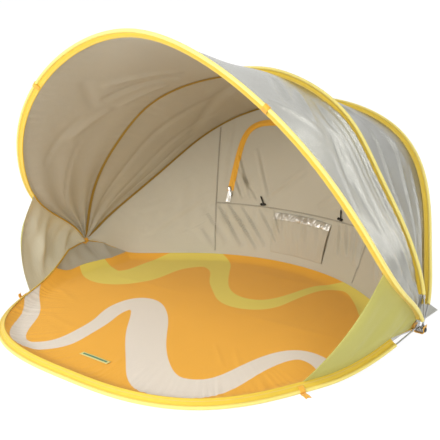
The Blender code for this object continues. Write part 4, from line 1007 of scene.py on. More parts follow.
def tube_patches(path, radius, sides=14):
    """A round bar along a path, closed with a small dome at each end.

    The circles' directions are carried along the path, each turned as little as possible from the last.
    """
    path = np.asarray(path, float)
    tangent = unit(np.gradient(path, axis=0))
    first = unit(np.cross(tangent, tangent.mean(axis=0) + np.array([0.31, 0.17, 0.53])))
    for i in range(1, len(path)):
        first[i] = unit(first[i - 1] - tangent[i] * (first[i - 1] @ tangent[i]))
    second = np.cross(tangent, first)
    radius = np.broadcast_to(radius, len(path)).astype(float)
    rings = ring_grid(path, first, second, radius, sides)
    rows = [rings]
    for end, out in ((0, -1.0), (-1, 1.0)):
        share = np.array([0.7, 0.0])
        tips = path[end] + np.outer(np.sqrt(1 - share ** 2) * radius[end] * out, tangent[end])
        ways = (np.tile(way[end], (2, 1)) for way in (first, second))
        dome = ring_grid(tips, *ways, share * radius[end], sides)
        rows = [dome[::-1]] + rows if end == 0 else rows + [dome]
    return [{"points": np.vstack(rows), "wrap": (False, True)}]


def wire_path(wire):
    """The wire's whole path: an eye of three quarters of a turn, the smooth line, and the other eye."""
    turn = np.linspace(EYE_TURN, 0.0, 28)[:-1, None]
    centre = HUB + X_AXIS * (HUB_X + EYE_PITCH * EYE_SLOTS[wire.name])
    eye = centre + EYE_RADIUS * (np.cos(turn) * wire.across - np.sin(turn) * wire.along)
    line = read_line(wire.curve, wire.stations(0.0, 8.0 * MM))
    return np.vstack([eye, line, eye[::-1] * MIRROR_X])


# Cloths between two rails


def sector(first, second, across, pull, sag):
    """A cloth between two rails: the straight line across, drawn in by a parabola along a pull."""
    return between(first, second, across) - unit(pull)[:, None] * hump(across)[:, None] * sag[..., None]


def spread_steps(count):
    """Shares from 0 to 1, closer together at both ends: half of one less the cosine."""
    return (1 - np.cos(np.linspace(0.0, math.pi, count + 1))) / 2


def canopy_patch(names, sizes, rear_turn, relief):
    """A roof cloth between two hoops, with its long folds and the puckers beside both seams.

    The sag waves along the hoops. The puckers are a sine wave along the hoops whose phase wavers, high
    beside a seam and dying away from it, and the relief is laid on along the cloth's own outer side.
    """
    first, second = (WIRES[name] for name in names)
    share = np.linspace(0.0, 1.0, int(first.length / sizes.station))
    across = spread_steps(64)
    places = [CLOTH_TIP + (wire.length - 2 * CLOTH_TIP) * share for wire in (first, second)]
    pull = sum(wire.frame_at(at)[1] for wire, at in zip((first, second), places))
    sag = CANOPY_SAG + sizes.fold * np.sin(math.tau * 6 * share)
    plain = sector(
        first.hem_line(places[0], 1), second.hem_line(places[1], -1), across, pull,
        np.broadcast_to(sag[:, None], (len(share), len(across))))
    width = np.linalg.norm(plain[:, -1] - plain[:, 0], axis=1)[:, None]
    edge = np.minimum(across, 1 - across) * width
    phase = math.tau * share[:, None] * first.length / (sizes.pucker_pitch * 1.9)
    pucker = sizes.pucker * np.sin(phase + 1.3 * np.sin(phase * 0.31) + 2.0 * (across > 0.5))
    pucker = pucker * smooth(edge / (7 * MM)) * np.exp(-edge / (22 * MM))
    lift = pucker + relief(share[:, None], across[None, :], width) * smooth(edge / (12 * MM))
    out = normals(plain)
    out *= np.sign(np.sum(out[len(share) // 2, len(across) // 2] * pull[len(share) // 2]))
    turn = 1 + (rear_turn - 1) * across
    return plain, {"points": plain + out * lift[..., None], "turn": np.tile(turn, (len(share), 1))}


# Creases of the canopies, in metres along the hoops from a hub and across from the front seam: two ends,
# height and half width. Streaks beside the rear seam: distance from it, width of the step and height.
CANOPY_SAG = 3.0 * MM
CANOPY_RUN, CANOPY_REACH = 2.3, 0.45
FRONT_CREASES = (
    (0.90, 0.370, 0.70, 0.230, 7.5 * MM, 14 * MM), (0.96, 0.330, 0.78, 0.190, -7.0 * MM, 15 * MM),
    (0.83, 0.400, 0.67, 0.320, -5.0 * MM, 13 * MM),
    (0.66, 0.230, 0.80, 0.110, 4.0 * MM, 18 * MM), (0.50, 0.200, 0.66, 0.300, -5.0 * MM, 16 * MM),
    (0.14, 0.180, 0.50, 0.260, 3.0 * MM, 7 * MM), (0.40, 0.100, 0.62, 0.210, 3.0 * MM, 12 * MM),
)
REAR_CREASES = (
    (0.16, 0.150, 0.90, 0.200, 4.0 * MM, 14 * MM), (0.16, 0.290, 0.80, 0.330, 3.6 * MM, 13 * MM),
    (0.60, 0.380, 1.00, 0.100, 6.0 * MM, 22 * MM), (0.20, 0.380, 0.62, 0.400, 2.6 * MM, 10 * MM),
)
STREAKS = (
    (0.026, 0.020, 8.5 * MM), (0.062, 0.014, 4.2 * MM), (0.090, 0.012, 3.4 * MM), (0.130, 0.018, 3.4 * MM))


def front_relief(share, across, width):
    """Folds of the front canopy: steps that run beside its rear seam, and long and broad soft folds.

    Each step rises smoothly towards the seam over its own width, at its own distance from the seam. The folds
    are slanted sine waves under bells along the hoops: one at the hubs and one at the left haunch.
    """
    near_hub = np.exp(-(np.minimum(share, 1 - share) / 0.16) ** 2)
    haunch = np.exp(-((share - 0.42) / 0.22) ** 2)
    relief = 5.0 * MM * np.sin(math.tau * (3.1 * across + 0.25 * share)) * near_hub
    relief += 2.6 * MM * np.sin(math.tau * (1.6 * across - 5.0 * share + 0.2)) * haunch
    from_seam = (1 - across) * width
    pulled = smooth(share / 0.06) * (1 - smooth((share - 0.20) / 0.22))
    for place, rise, height in STREAKS:
        step = smooth((place + rise / 2 - from_seam) / rise)
        relief += height * step * pulled * np.exp(-np.maximum(0.0, place - rise - from_seam) / 0.03)
    along = CANOPY_RUN * np.minimum(share, 1 - share)
    return relief + creases(along, CANOPY_REACH * across, FRONT_CREASES)


def rear_relief(share, across, _width):
    """Folds of the rear canopy: sine waves across it near the hubs, and shallow ones all along it."""
    near_hub = np.exp(-(np.minimum(share, 1 - share) / 0.14) ** 2)
    relief = 2.6 * MM * np.sin(math.tau * (2.2 * across + 0.3)) * near_hub
    relief = relief + 1.4 * MM * np.sin(math.tau * 7 * share)
    along = CANOPY_RUN * np.minimum(share, 1 - share)
    return relief + creases(along, CANOPY_REACH * across, REAR_CREASES)


def build_canopies(sizes):
    """The two roof cloths and the tapes over their seams."""
    for node, names, relief, turn, silver in (
        ("front_canopy", ("front_hoop", "middle_hoop"), front_relief, MIDDLE_TURN / FRONT_TURN,
         "silver coated canopy"),
        ("rear_canopy", ("middle_hoop", "rear_hoop"), rear_relief, REAR_TURN / MIDDLE_TURN,
         "silver canopy in painted shade"),
    ):
        plain, patch = canopy_patch(names, sizes, turn, relief)
        piece = show(f"{node}_cloth", [patch], silver, "taupe canopy lining", facing=(0.0, 0.0, 0.15))
        thicken(piece, sizes.cloth, 1)
        turn_between(piece, names[0], "silver_canopy", node)
        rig.sheet(piece, held="stretched", rests_on=[f"{name}_sleeve_cloth" for name in names],
                 **flat_cut(plain))
    for name, others, node in (
        ("middle_hoop", ("front_hoop", "rear_hoop"), "middle_seam_tape"),
        ("rear_hoop", ("middle_hoop", "ring_rear"), "rear_seam_tape"),
    ):
        belong(seam_binding(name, others, sizes), name, "dark_yellow_tape", node)


def seam_binding(name, others, sizes):
    """A tape folded along the inside of a hoop's seam, from the cloth in front to the cloth behind.

    Each leg lies on the straight line towards the next rail, lifted square to it on the inner side.
    """
    wire = WIRES[name]
    at = wire.stations(CLOTH_TIP, sizes.station)
    share = (at - CLOTH_START) / (wire.length - 2 * CLOTH_START)
    _, outer, _, _ = wire.frame_at(at)
    legs = []
    for side, other in zip((-1, 1), others):
        hem = wire.hem_line(at, side)
        far = WIRES[other].rail(1 if side < 0 or other == "ring_rear" else -1, share)
        way = unit(far - hem)
        inward = unit(way * np.sum(outer * way, axis=1, keepdims=True) - outer)
        legs.append([hem + way * BINDING_REACH * part + inward * BINDING_LIFT for part in (1.0, 0.6)])
    fold = wire.hem_line(at, 0, BINDING_FOLD)
    rows = np.stack([*legs[0], fold, *legs[1][::-1]], axis=1)
    cloth = on_grid(at[:, None], np.linspace(-1.0, 1.0, 5) * BINDING_REACH)
    piece = show(f"{name}_seam_binding", [{"points": rows, "cloth": cloth}], "dark yellow seam tape",
                 facing=(0.0, 0.0, 1.5))
    thicken(piece, TAPE)
    return piece


def build_corner_piping():
    """Piping inside the low corners, from each hub along the floor ring's hems and the front hoop's."""
    for name, last, body in (("ring_front", LIFT_OFF_FRONT, "front_floor"),
                             ("ring_rear", LIFT_OFF_REAR, "rear_floor"),
                             ("front_hoop", PANEL_ON_HOOP, "front_hoop")):
        wire = WIRES[name]
        line = wire.hem_line(np.linspace(CLOTH_TIP, last * wire.length, 48), 0, 0.5 * MM) - X_AXIS * MM
        for side, flip in (("right", 1.0), ("left", MIRROR_X)):
            piece = show(f"{name}_piping_{side}", tube_patches(line * flip, PIPING_RADIUS, 10),
                         "seam tape piping, painted light", solid=True)
            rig.ride(piece, body)
            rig.slot(piece, "dark_yellow_tape")


def build_side_panels(sizes):
    """The two triangular panels between the front hoop's legs and the floor ring, with soft upright folds.

    Each is drawn inwards by a bulge that grows from the hub, waved by two sine waves from hub to mouth, set
    out again past a slanted fold, and rippled finely beside the ring.
    """
    hoop, ring = WIRES["front_hoop"], WIRES["ring_front"]
    steps, across = np.linspace(0.0, 1.0, 90), spread_steps(50)
    low, high = (wire.hem_line(CLOTH_TIP + (last * wire.length - CLOTH_TIP) * steps, side)
                 for wire, side, last in ((ring, 1, PANEL_ON_RING), (hoop, -1, PANEL_ON_HOOP)))
    a, s = np.meshgrid(steps, across, indexing="ij")
    turn = np.broadcast_to(1 + (FRONT_TURN - 1) * across, a.shape)
    for side, bulge, fold, flip in (
        ("right", 14.0 * MM, 3.0 * MM, 1.0), ("left", 34.0 * MM, 12.0 * MM, MIRROR_X),
    ):
        plain = sector(low, high, across, np.tile(-X_AXIS, (len(steps), 1)), bulge * smooth(a / 0.35))
        wave = fold * np.sin(math.tau * 2.5 * a) + 0.35 * fold * np.sin(math.tau * (5.2 * a + 0.6 * s))
        shift = hump(s) * wave * smooth(a / 0.30)
        shift += fold * 1.6 * (smooth((a - 0.42 - 0.50 * s) / 0.22) - 0.5) * hump(s)
        shift += 0.5 * MM * np.sin(a * 150) * np.exp(-s * 14) * smooth(s * 30)
        points = plain + X_AXIS * shift[..., None]
        piece = show(f"side_panel_{side}_cloth", [{"points": points * flip, "turn": turn}],
                     "yellow-green panel cloth", "khaki panel lining", facing=(0.0, -0.1, 0.1))
        thicken(piece, sizes.cloth, 1)
        turn_between(piece, "front_floor", "yellow_green_panel", f"side_panel_{side}")
        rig.sheet(piece, held="stretched", rests_on=["front_hoop_sleeve_cloth", "ring_front_sleeve_cloth"],
                 **flat_cut(plain * flip))


# Mat


def mat_runs():
    """The mat's front and rear rims, along the inside of the floor ring's hems."""
    runs = []
    for name, lift_off, inset, tuck in (("ring_front", LIFT_OFF_FRONT, FRONT_INSET, FRONT_TUCK),
                                        ("ring_rear", LIFT_OFF_REAR, REAR_INSET, REAR_TUCK)):
        wire = WIRES[name]
        first = (lift_off * wire.length - CLOTH_START) / (wire.length - 2 * CLOTH_START)
        runs.append(wire.rail(-1, np.linspace(first, 1 - first, 260), tuck=inset) - Z_AXIS * tuck)
    return runs


def mat_side(runs):
    """The mat's side at the right hub, a smooth line from the front rim's first point to the rear rim's."""
    return smooth_line(np.vstack([runs[0][:1], MAT_SIDE, runs[1][:1]]), density=12)[0]


def mat_outline():
    """The mat's rim from the right round the front, the left side and the back, closed, and its lengths."""
    runs = mat_runs()
    side = mat_side(runs)
    outline = np.vstack([runs[0], (side * MIRROR_X)[1:-1], runs[1][::-1], side[-2:0:-1], runs[0][:1]])
    return outline, running(outline)


def band_reach(points, band):
    """How far points lie outside a printed band: their distance to its middle line less its half width."""
    line, _ = smooth_line(band, density=16)
    gap = np.linalg.norm(points[:, None, :2] - line[None, :, :2], axis=2) - line[None, :, 2]
    return gap.min(axis=1)


# Soft creases of the mat, in X and Y: two ends, height and half width
MAT_CREASES = (
    (-0.46, -0.20, -0.30, -0.26, 0.9 * MM, 9 * MM), (-0.30, -0.36, -0.16, -0.38, 0.8 * MM, 8 * MM),
    (0.15, -0.24, 0.24, -0.33, 0.9 * MM, 6 * MM), (0.19, -0.22, 0.27, -0.31, 0.8 * MM, 6 * MM),
    (0.05, -0.50, 0.02, -0.41, 1.0 * MM, 7 * MM), (0.12, -0.50, 0.10, -0.40, 1.0 * MM, 7 * MM),
    (-0.36, -0.36, -0.29, -0.30, 0.9 * MM, 6 * MM), (-0.40, -0.05, -0.10, -0.03, 0.7 * MM, 14 * MM),
    (0.05, -0.06, 0.40, -0.04, 0.7 * MM, 14 * MM), (-0.10, 0.22, 0.20, 0.24, 0.7 * MM, 12 * MM),
)


def build_mat(sizes):
    """The whole mat: rings shrunk from its rim to a point in the middle, with gathers behind the front rim.

    Each ring keeps a distance from the rim over the last hand's width and then an equal share of the way.
    The mat rises to its rim by a power of the way left, and its gathers are squared sine waves along the
    rim, with a wavering phase and a height that swells and dies along the rim and fades inwards.
    """
    outline, length = mat_outline()
    at = np.linspace(0.0, length[-1], 601)[:-1]
    rim = read_line((outline, length), at)
    middle = np.array([0.0, -0.110, MAT_LEVEL])
    radius = np.linalg.norm((rim - middle)[:, :2], axis=1)[:, None]
    near = np.array([0, 2, 4, 6.5, 9, 12, 15, 18, 22, 27, 33, 40, 48, 57, 67]) * MM
    shares = np.hstack([1 - near / radius, (1 - near[-1] / radius) * np.linspace(1.0, 0.0, 52)[1:]])
    points = middle + (rim - middle)[:, None] * shares[..., None]
    away = radius * (1 - shares)
    rise = np.clip(1 - away / (40.0 * MM), 0.0, 1.0) ** 1.6
    points[..., 2] = MAT_LEVEL + (rim[:, 2] - MAT_LEVEL)[:, None] * rise
    front = smooth((-0.12 - rim[:, 1]) / 0.2)[:, None]
    phase = math.tau * at[:, None] / (21 * MM)
    gather = 0.5 + 0.5 * np.sin(phase + 2.1 * np.sin(phase * 0.23) + away / (35 * MM))
    patchy = 0.45 + 0.55 * np.sin(math.tau * at[:, None] / 0.31 + 0.6) ** 2
    fade = smooth(away / (9 * MM)) * np.exp(-away / (48 * MM))
    points[..., 2] += 3.4 * MM * gather ** 2 * patchy * front * fade
    ridges = creases(points[..., 0], points[..., 1], MAT_CREASES)
    points[..., 2] += np.maximum(0.0, ridges) * smooth(away / (20 * MM))
    cloth = np.concatenate([points, points[:1]])[..., :2]
    piece = show("mat_cloth", [{"points": points, "wrap": (True, False), "cloth": cloth}],
                 "coated orange mat cloth", facing=(0.0, -0.1, -1.0))
    co = np.zeros(3 * len(piece.data.vertices))
    piece.data.vertices.foreach_get("co", co)
    for name, band in (("front_band", FRONT_BAND), ("rear_band", REAR_BAND)):
        add_values(piece.data, name, band_reach(co.reshape(-1, 3), band))
    thicken(piece, sizes.mat)
    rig.blend(piece, "rear_floor", "front_floor", start=(0, 0.06, 0), end=(0, -0.16, 0))
    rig.replaces(piece, "rear_mat", "front_mat")
    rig.slot(piece, "orange_floor")
    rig.sheet(piece, flat=tuple(np.ptp(rim[:, :2], axis=0).tolist()), held="laid", area=area_inside(rim),
             rests_on=["ring_front_sleeve_cloth", "ring_rear_sleeve_cloth"])


# Back wall


def wall_base(along, up):
    """Places on the wall at shares along and up it, before its relief.

    Each upright runs straight from inside the ring's hem to the rear hoop's rail, drawn outwards by a
    parabola.
    """
    shares = np.ravel(along)
    low = WIRES["ring_rear"].rail(-1, shares, tuck=WALL_TUCK, spread=WALL_SPREAD)
    low[:, 2] -= WALL_DROP * smooth((np.minimum(shares, 1 - shares) - 0.05) / 0.06)
    high = WIRES["rear_hoop"].rail(1, shares)
    low, high = (rail.reshape(*np.shape(along), 3) for rail in (low, high))
    up = np.asarray(up)[..., None]
    pull = unit(low * [1.0, 1.0, 0.0])
    return low * (1 - up) + high * up - pull * hump(up) * WALL_SAG


def wall_point(along, up, lift=0.0):
    """Places on the wall with its relief, lifted towards the inside."""
    along, up = np.broadcast_arrays(np.asarray(along, float), np.asarray(up, float))
    here = wall_base(along, up)
    inner_along = np.clip(along, WALL_STEP, 1 - WALL_STEP)
    ahead = wall_base(inner_along + WALL_STEP, up) - wall_base(inner_along - WALL_STEP, up)
    above = wall_base(along, np.clip(up + WALL_STEP, 0, 1)) - wall_base(along, np.clip(up - WALL_STEP, 0, 1))
    relief = wall_relief(here[..., 0], here[..., 2]) * smooth(np.minimum(up, 1 - up) * 18)
    return here + unit(np.cross(above, ahead)) * (relief + lift)[..., None]


# Step in share for the wall's directions, the wall's mean length and height, and its creases in X and Z: two
# ends, height and half width
WALL_STEP = 0.002
WALL_METRES = (1.45, 0.48)
WALL_CREASES = (
    (-0.310, 0.155, -0.215, 0.045, 4.5 * MM, 8 * MM), (-0.268, 0.162, -0.170, 0.040, 6.0 * MM, 6 * MM),
    (-0.236, 0.162, -0.120, 0.036, 6.0 * MM, 5 * MM), (-0.196, 0.160, -0.095, 0.050, 5.0 * MM, 5 * MM),
    (-0.140, 0.160, -0.060, 0.065, 4.0 * MM, 5 * MM), (-0.300, 0.095, -0.250, 0.035, 4.0 * MM, 7 * MM),
    (-0.090, 0.160, -0.050, 0.090, 3.0 * MM, 4 * MM), (0.145, 0.160, 0.160, 0.070, 3.6 * MM, 5 * MM),
    (0.172, 0.160, 0.190, 0.080, 4.0 * MM, 4 * MM), (0.198, 0.160, 0.215, 0.070, 4.4 * MM, 4 * MM),
    (0.228, 0.160, 0.240, 0.060, 4.4 * MM, 5 * MM), (0.290, 0.150, 0.330, 0.060, 4.4 * MM, 7 * MM),
    (-0.234, 0.305, -0.172, 0.185, 4.2 * MM, 4 * MM), (-0.230, 0.270, -0.150, 0.180, 3.8 * MM, 4 * MM),
    (-0.230, 0.235, -0.198, 0.180, 3.2 * MM, 3.5 * MM), (-0.180, 0.330, -0.110, 0.185, 2.8 * MM, 6 * MM),
    (-0.120, 0.185, 0.000, 0.290, 2.6 * MM, 8 * MM), (0.060, 0.185, 0.150, 0.260, 3.0 * MM, 7 * MM),
    (0.100, 0.185, 0.190, 0.240, 3.0 * MM, 5 * MM), (-0.150, 0.385, 0.180, 0.392, 2.4 * MM, 8 * MM),
    (-0.110, 0.360, 0.120, 0.350, 1.9 * MM, 12 * MM), (-0.370, 0.230, -0.330, 0.080, 3.6 * MM, 11 * MM),
    (0.370, 0.230, 0.330, 0.080, 3.6 * MM, 11 * MM), (-0.275, 0.420, -0.257, 0.200, 2.4 * MM, 8 * MM),
    (-0.420, 0.060, -0.300, 0.180, 3.0 * MM, 12 * MM), (-0.460, 0.140, -0.380, 0.150, 2.6 * MM, 10 * MM),
)


def wall_relief(x, z):
    """The wall's wrinkles: each crease with a hollow beside it, and small gathers below the belt seam."""
    below = np.clip((BELT_HEIGHT - z) / 0.10, 0.0, 1.0)
    wave = np.sin(x * math.tau / 0.034 + 2.0 * np.sin(x * 19))
    gather = 2.8 * MM * wave * np.sqrt(below) * (1 - below) ** 2
    hollow = creases(x - 7 * MM, z, WALL_CREASES)
    return 1.3 * (creases(x, z, WALL_CREASES) - hollow) + gather


def wall_share(x, z):
    """Shares along and up the wall of places in X and Z, by repeated straight corrections."""
    x, z = np.broadcast_arrays(np.asarray(x, float), np.asarray(z, float))
    along, up = 0.5 - x / 1.3, z * 2
    step = 0.001
    for _ in range(12):
        here = wall_base(along, up)
        a = (wall_base(along + step, up) - here) / step
        b = (wall_base(along, up + step) - here) / step
        dx, dz = x - here[..., 0], z - here[..., 2]
        scale = a[..., 0] * b[..., 2] - a[..., 2] * b[..., 0]
        along = along + (dx * b[..., 2] - dz * b[..., 0]) / scale
        up = up + (dz * a[..., 0] - dx * a[..., 2]) / scale
    return along, up


def arch(grow, foot, count=120):
    """The window's arch in X and Z, grown all round: a squared ellipse over straight legs."""
    half, height = WINDOW_HALF_WIDTH + grow, WINDOW_TOP - ZIP_FOOT + grow
    line = squared_circle(np.linspace(0.0, math.pi, count), ARCH_POWER) * [half, height] + [0.0, ZIP_FOOT]
    legs = np.arange(foot, ZIP_FOOT - MM, 4 * MM)
    right = np.stack([np.full(len(legs), half), legs], axis=1)
    return np.vstack([right, line, (right * [-1.0, 1.0])[::-1]]) + [WINDOW_OFFSET, 0.0]


def closed_arch(grow, foot, count=400):
    """The arch closed along its foot, read at even steps."""
    line = arch(grow, foot)
    closed = np.vstack([line, np.linspace(line[-1], line[0], 60)[1:]])
    length = running(closed)
    return read_line((closed, length), np.linspace(0.0, length[-1], count + 1)[:-1])


def build_wall(sizes):
    """The back wall: a frame of cloth from the window's edge out to the ring and the rear hoop.

    In shares along and up the wall, each line runs straight from the arch to the wall's rim at one angle
    about the arch's middle.
    """
    hole = np.stack(wall_share(*closed_arch(0.0, WINDOW_FOOT, 500).T), axis=1)
    centre = hole.mean(axis=0)
    turn = np.unwrap(np.arctan2(*(hole - centre).T[::-1]))
    order = np.argsort(turn)
    spread = np.linspace(0.0, 1.0, 401)[:-1]
    none = spread * 0
    rim = np.vstack([
        np.stack([spread, none], axis=1), np.stack([none + 1, spread], axis=1)[::5],
        np.stack([1 - spread, none + 1], axis=1), np.stack([none, 1 - spread], axis=1)[::5]])
    rim[:, 0] = rim[:, 0] * (1 + 2 * WALL_OVERRUN) - WALL_OVERRUN
    angle = np.arctan2(*(rim - centre).T[::-1])
    inner = np.interp(angle, turn[order], np.linalg.norm(hole - centre, axis=1)[order], period=math.tau)
    shares = between(centre + circle(angle) * inner[:, None], rim, spread_steps(42))
    piece = show("back_wall_cloth", [wall_rings(shares)], "silver coated canopy", "taupe wall cloth",
                 facing=(0.0, 0.0, 0.2))
    thicken(piece, sizes.cloth, 1)
    turn_between(piece, "rear_hoop", "taupe_wall", "back_wall")
    cut = flat_cut(wall_base(*np.meshgrid(np.linspace(0, 1, 160), np.linspace(0, 1, 40), indexing="ij")))
    cut["area"] -= area_inside(closed_arch(0.0, WINDOW_FOOT))
    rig.sheet(piece, held="stretched", rests_on=["rear_hoop_sleeve_cloth", "ring_rear_sleeve_cloth"], **cut)


def wall_rings(shares, lift=0.0):
    """A closed patch on the wall from rings of shares along and up it, with its cloth places in metres."""
    cloth = np.concatenate([shares, shares[:1]]) * WALL_METRES
    return {"points": wall_point(shares[..., 0], shares[..., 1], lift), "wrap": (True, False),
            "turn": shares[..., 1], "cloth": cloth}


def window_fill(name, grow, foot, lift, *materials):
    """A cloth that fills the arch: rings shrunk from its edge to its middle, lifted from the wall."""
    edge = np.stack(wall_share(*closed_arch(grow, foot, 360).T), axis=1)
    steps = np.r_[0.0, 0.004, np.linspace(0.02, 1.0, 70)]
    shares = between(edge, np.broadcast_to(edge.mean(axis=0), edge.shape), steps)
    return show(name, [wall_rings(shares, lift)], *materials, facing=(0.0, 0.0, 0.2))


def arch_cut(grow, foot):
    """Flat size and area of the cloth that fills the arch, with the ease its folds take up."""
    line = closed_arch(grow, foot)
    width, height = np.ptp(line, axis=0).tolist()
    return {"flat": (width * FILL_EASE[0], height * FILL_EASE[1]), "area": area_inside(line) * FILL_EASE[2]}


def build_window(sizes):
    """The flap in the window, the net outside it, the zip band round it and the zip's slider."""
    grow, foot = FLAP_OVERLAP, WINDOW_FOOT - FLAP_FOOT_OVERLAP
    flap = window_fill("window_flap_cloth", grow, foot, FLAP_LIFT, "silver coated canopy", "taupe wall cloth")
    thicken(flap, sizes.cloth, 1)
    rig.squash(flap, "floor_fold", axis=(0.0, -0.34, 0.94), anchor=(0.0, 0.33, 0.02), keep=0.06)
    belong(flap, "window_flap", "taupe_wall", "window_flap")
    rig.sheet(flap, held="hung", rests_on=["window_zip_band", "belt_seam_binding"], **arch_cut(grow, foot))
    foot = WINDOW_FOOT - NET_OVERLAP
    net = window_fill("window_net_cloth", NET_OVERLAP, foot, -NET_DROP, "black knotted net")
    thicken(net, NET_THICKNESS)
    turn_between(net, "rear_hoop", "black_net", "window_net")
    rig.sheet(net, held="stretched", rests_on=["back_wall_cloth"], **arch_cut(NET_OVERLAP, foot))
    band = wall_strip("window_zip_band", arch(0.0, ZIP_FOOT, 420), ZIP_WIDTH, ZIP_LIFT, zip_relief,
                      "orange webbing", 25)
    thicken(band, ZIP_THICKNESS)
    turn_between(band, "rear_hoop", "orange_webbing", "zip_tape")
    build_slider()


def zip_relief(run, away):
    """The zip's closed coil under its tape: a bell across with a fine ripple along it, and edges that dip."""
    coil = np.exp(-(away / (2.3 * MM)) ** 2)
    ripple = 0.18 * MM * np.sin(run * math.tau / (5 * MM)) * coil
    wander = 0.5 * MM * np.sin(run * math.tau / 0.09 + 1.0) * (away / ZIP_WIDTH)
    return 1.1 * MM * coil + ripple + wander - 0.6 * MM * (2 * away / ZIP_WIDTH) ** 2


def wall_strip(name, line, width, lift, relief, material, rows=9):
    """A strip of tape laid on the wall along a line in X and Z: rows beside the line, lifted by a relief."""
    way = unit(np.gradient(line, axis=0))
    square = np.stack([-way[:, 1], way[:, 0]], axis=1)
    away = np.linspace(-width / 2, width / 2, rows)
    run = running(line)
    places = line[:, None] + square[:, None] * away[:, None]
    along, up = wall_share(places[..., 0], places[..., 1])
    points = wall_point(along, up, lift + relief(run[:, None], away[None, :]))
    patch = {"points": points, "turn": up, "cloth": on_grid(run[:, None], away[None, :])}
    return show(name, [patch], material, facing=(0.0, 1.0, 0.25))


def foot_relief(run, away):
    """The stop below the zip, pinched in the middle and crumpled: two sine waves across each other."""
    crumple = 0.5 * MM * np.sin(run * 320 + away * 200) * np.sin(away * 500 - run * 110)
    return crumple + 1.2 * MM * np.exp(-(away / (3 * MM)) ** 2)


def seam_relief(run, away):
    """A folded seam: a narrow raised lip with small pulls at each stitch."""
    return 1.2 * MM * np.exp(-(away / (1.3 * MM)) ** 2) + 0.15 * MM * np.sin(run * math.tau / (9 * MM))


def build_seams():
    """The two seams beside the window and the belt seam between them."""
    ends, strips = [], []
    for side, share in zip(("right", "left"), SEAM_SHARES):
        low, high = (wall_base(share, up)[[0, 2]] for up in SEAM_UP)
        line = low + (high - low) * np.linspace(0.0, 1.0, 90)[:, None]
        strips.append((f"wall_seam_{side}", line, 0.8 * MM))
        ends.append(low + (high - low) * (BELT_HEIGHT - low[1]) / (high[1] - low[1]))
    belt = ends[0] + (ends[1] - ends[0]) * np.linspace(0.004, 0.996, 160)[:, None]
    strips.append(("belt_seam", belt, 0.9 * MM))
    for node, line, lift in strips:
        piece = wall_strip(f"{node}_binding", line, SEAM_WIDTH, lift, seam_relief, "taupe seam binding, painted shade")
        thicken(piece, SEAM_THICKNESS)
        turn_between(piece, "rear_hoop", "taupe_wall", node)


def build_pocket(sizes):
    """The pocket: a cloth that stands off the wall at its mouth, with a gathered silver band above it.

    Its lift is a quarter sine wave up the pocket, under folds of two sine waves across it, and its left edge
    gapes in a bell. The band is bunched by a coarse and a fine sine wave that swell in the middle.
    """
    across, rise = np.linspace(0.0, 1.0, 90)[:, None], np.linspace(0.0, 1.0, 40)[None, :]
    along = POCKET_ALONG[0] + (POCKET_ALONG[1] - POCKET_ALONG[0]) * across
    up = POCKET_UP[0] + (POCKET_UP[1] - POCKET_UP[0]) * rise
    rim = np.sqrt(np.sin(math.pi * np.clip(across, 0.004, 0.996)))
    folds = 2.0 * MM * np.sin(math.tau * (4.5 * across + 0.3 * rise))
    folds = folds + 1.2 * MM * np.sin(math.tau * (9.3 * across - rise))
    lift = POCKET_SEAT + rim * (POCKET_STAND * np.sin(math.pi / 2 * rise) + folds * rise ** 0.7)
    lift = lift + 5.0 * MM * np.exp(-((across - 0.02) / 0.05) ** 2) * np.sin(math.pi * rise) ** 0.5
    along_all, up_all = np.broadcast_arrays(along, up)
    pocket = show("wall_pocket_cloth", [{"points": wall_point(along, up, lift), "turn": up_all}],
                  "taupe wall cloth", facing=(0.0, 1.0, 0.1))
    thicken(pocket, sizes.cloth)
    turn_between(pocket, "rear_hoop", "taupe_wall", "wall_pocket")
    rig.sheet(pocket, held="hung", rests_on=["back_wall_cloth"], **flat_cut(wall_base(along_all, up_all)))
    level = np.linspace(0.0, 1.0, 16)[None, :]
    bunch = 4.0 * MM * np.sin(math.tau * (7 * across + 0.4 * np.sin(math.tau * 2.3 * across)))
    bunch = bunch + 1.6 * MM * np.sin(math.tau * (15 * across + 0.8 * level))
    swell = np.sin(math.pi * level) * np.sqrt(np.sin(math.pi * np.clip(across, 0.01, 0.99)))
    height = lift[:, -1:] * (1 - 0.75 * level) + (bunch + 3.0 * MM) * swell + 0.6 * MM
    along_all, top_all = np.broadcast_arrays(along, up[0, -1] + BAND_RISE * level)
    band = show("pocket_gathered_band", [{"points": wall_point(along_all, top_all, height), "turn": top_all}],
                "crinkled silver film", facing=(0.0, 1.0, 0.1))
    thicken(band, FILM)
    turn_between(band, "rear_hoop", "silver_film", "pocket_band")
    held = flat_cut(wall_base(along_all, top_all))
    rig.sheet(band, flat=tuple(GATHER * size for size in held["flat"]), held="gathered",
             area=held["area"] * GATHER ** 2, rests_on=["wall_pocket_cloth"])


def wall_seat(x, z, lift=0.0):
    """A place on the wall at X and Z, its share of turning, and its directions left, up and inwards."""
    along, up = wall_share(x, z)
    left = unit(wall_base(along + WALL_STEP, up) - wall_base(along - WALL_STEP, up))
    above = wall_base(along, up + WALL_STEP) - wall_base(along, up - WALL_STEP)
    inward = unit(np.cross(above, left))
    return wall_point(along, up, lift), float(up), np.array([-left, unit(np.cross(inward, -left)), inward])


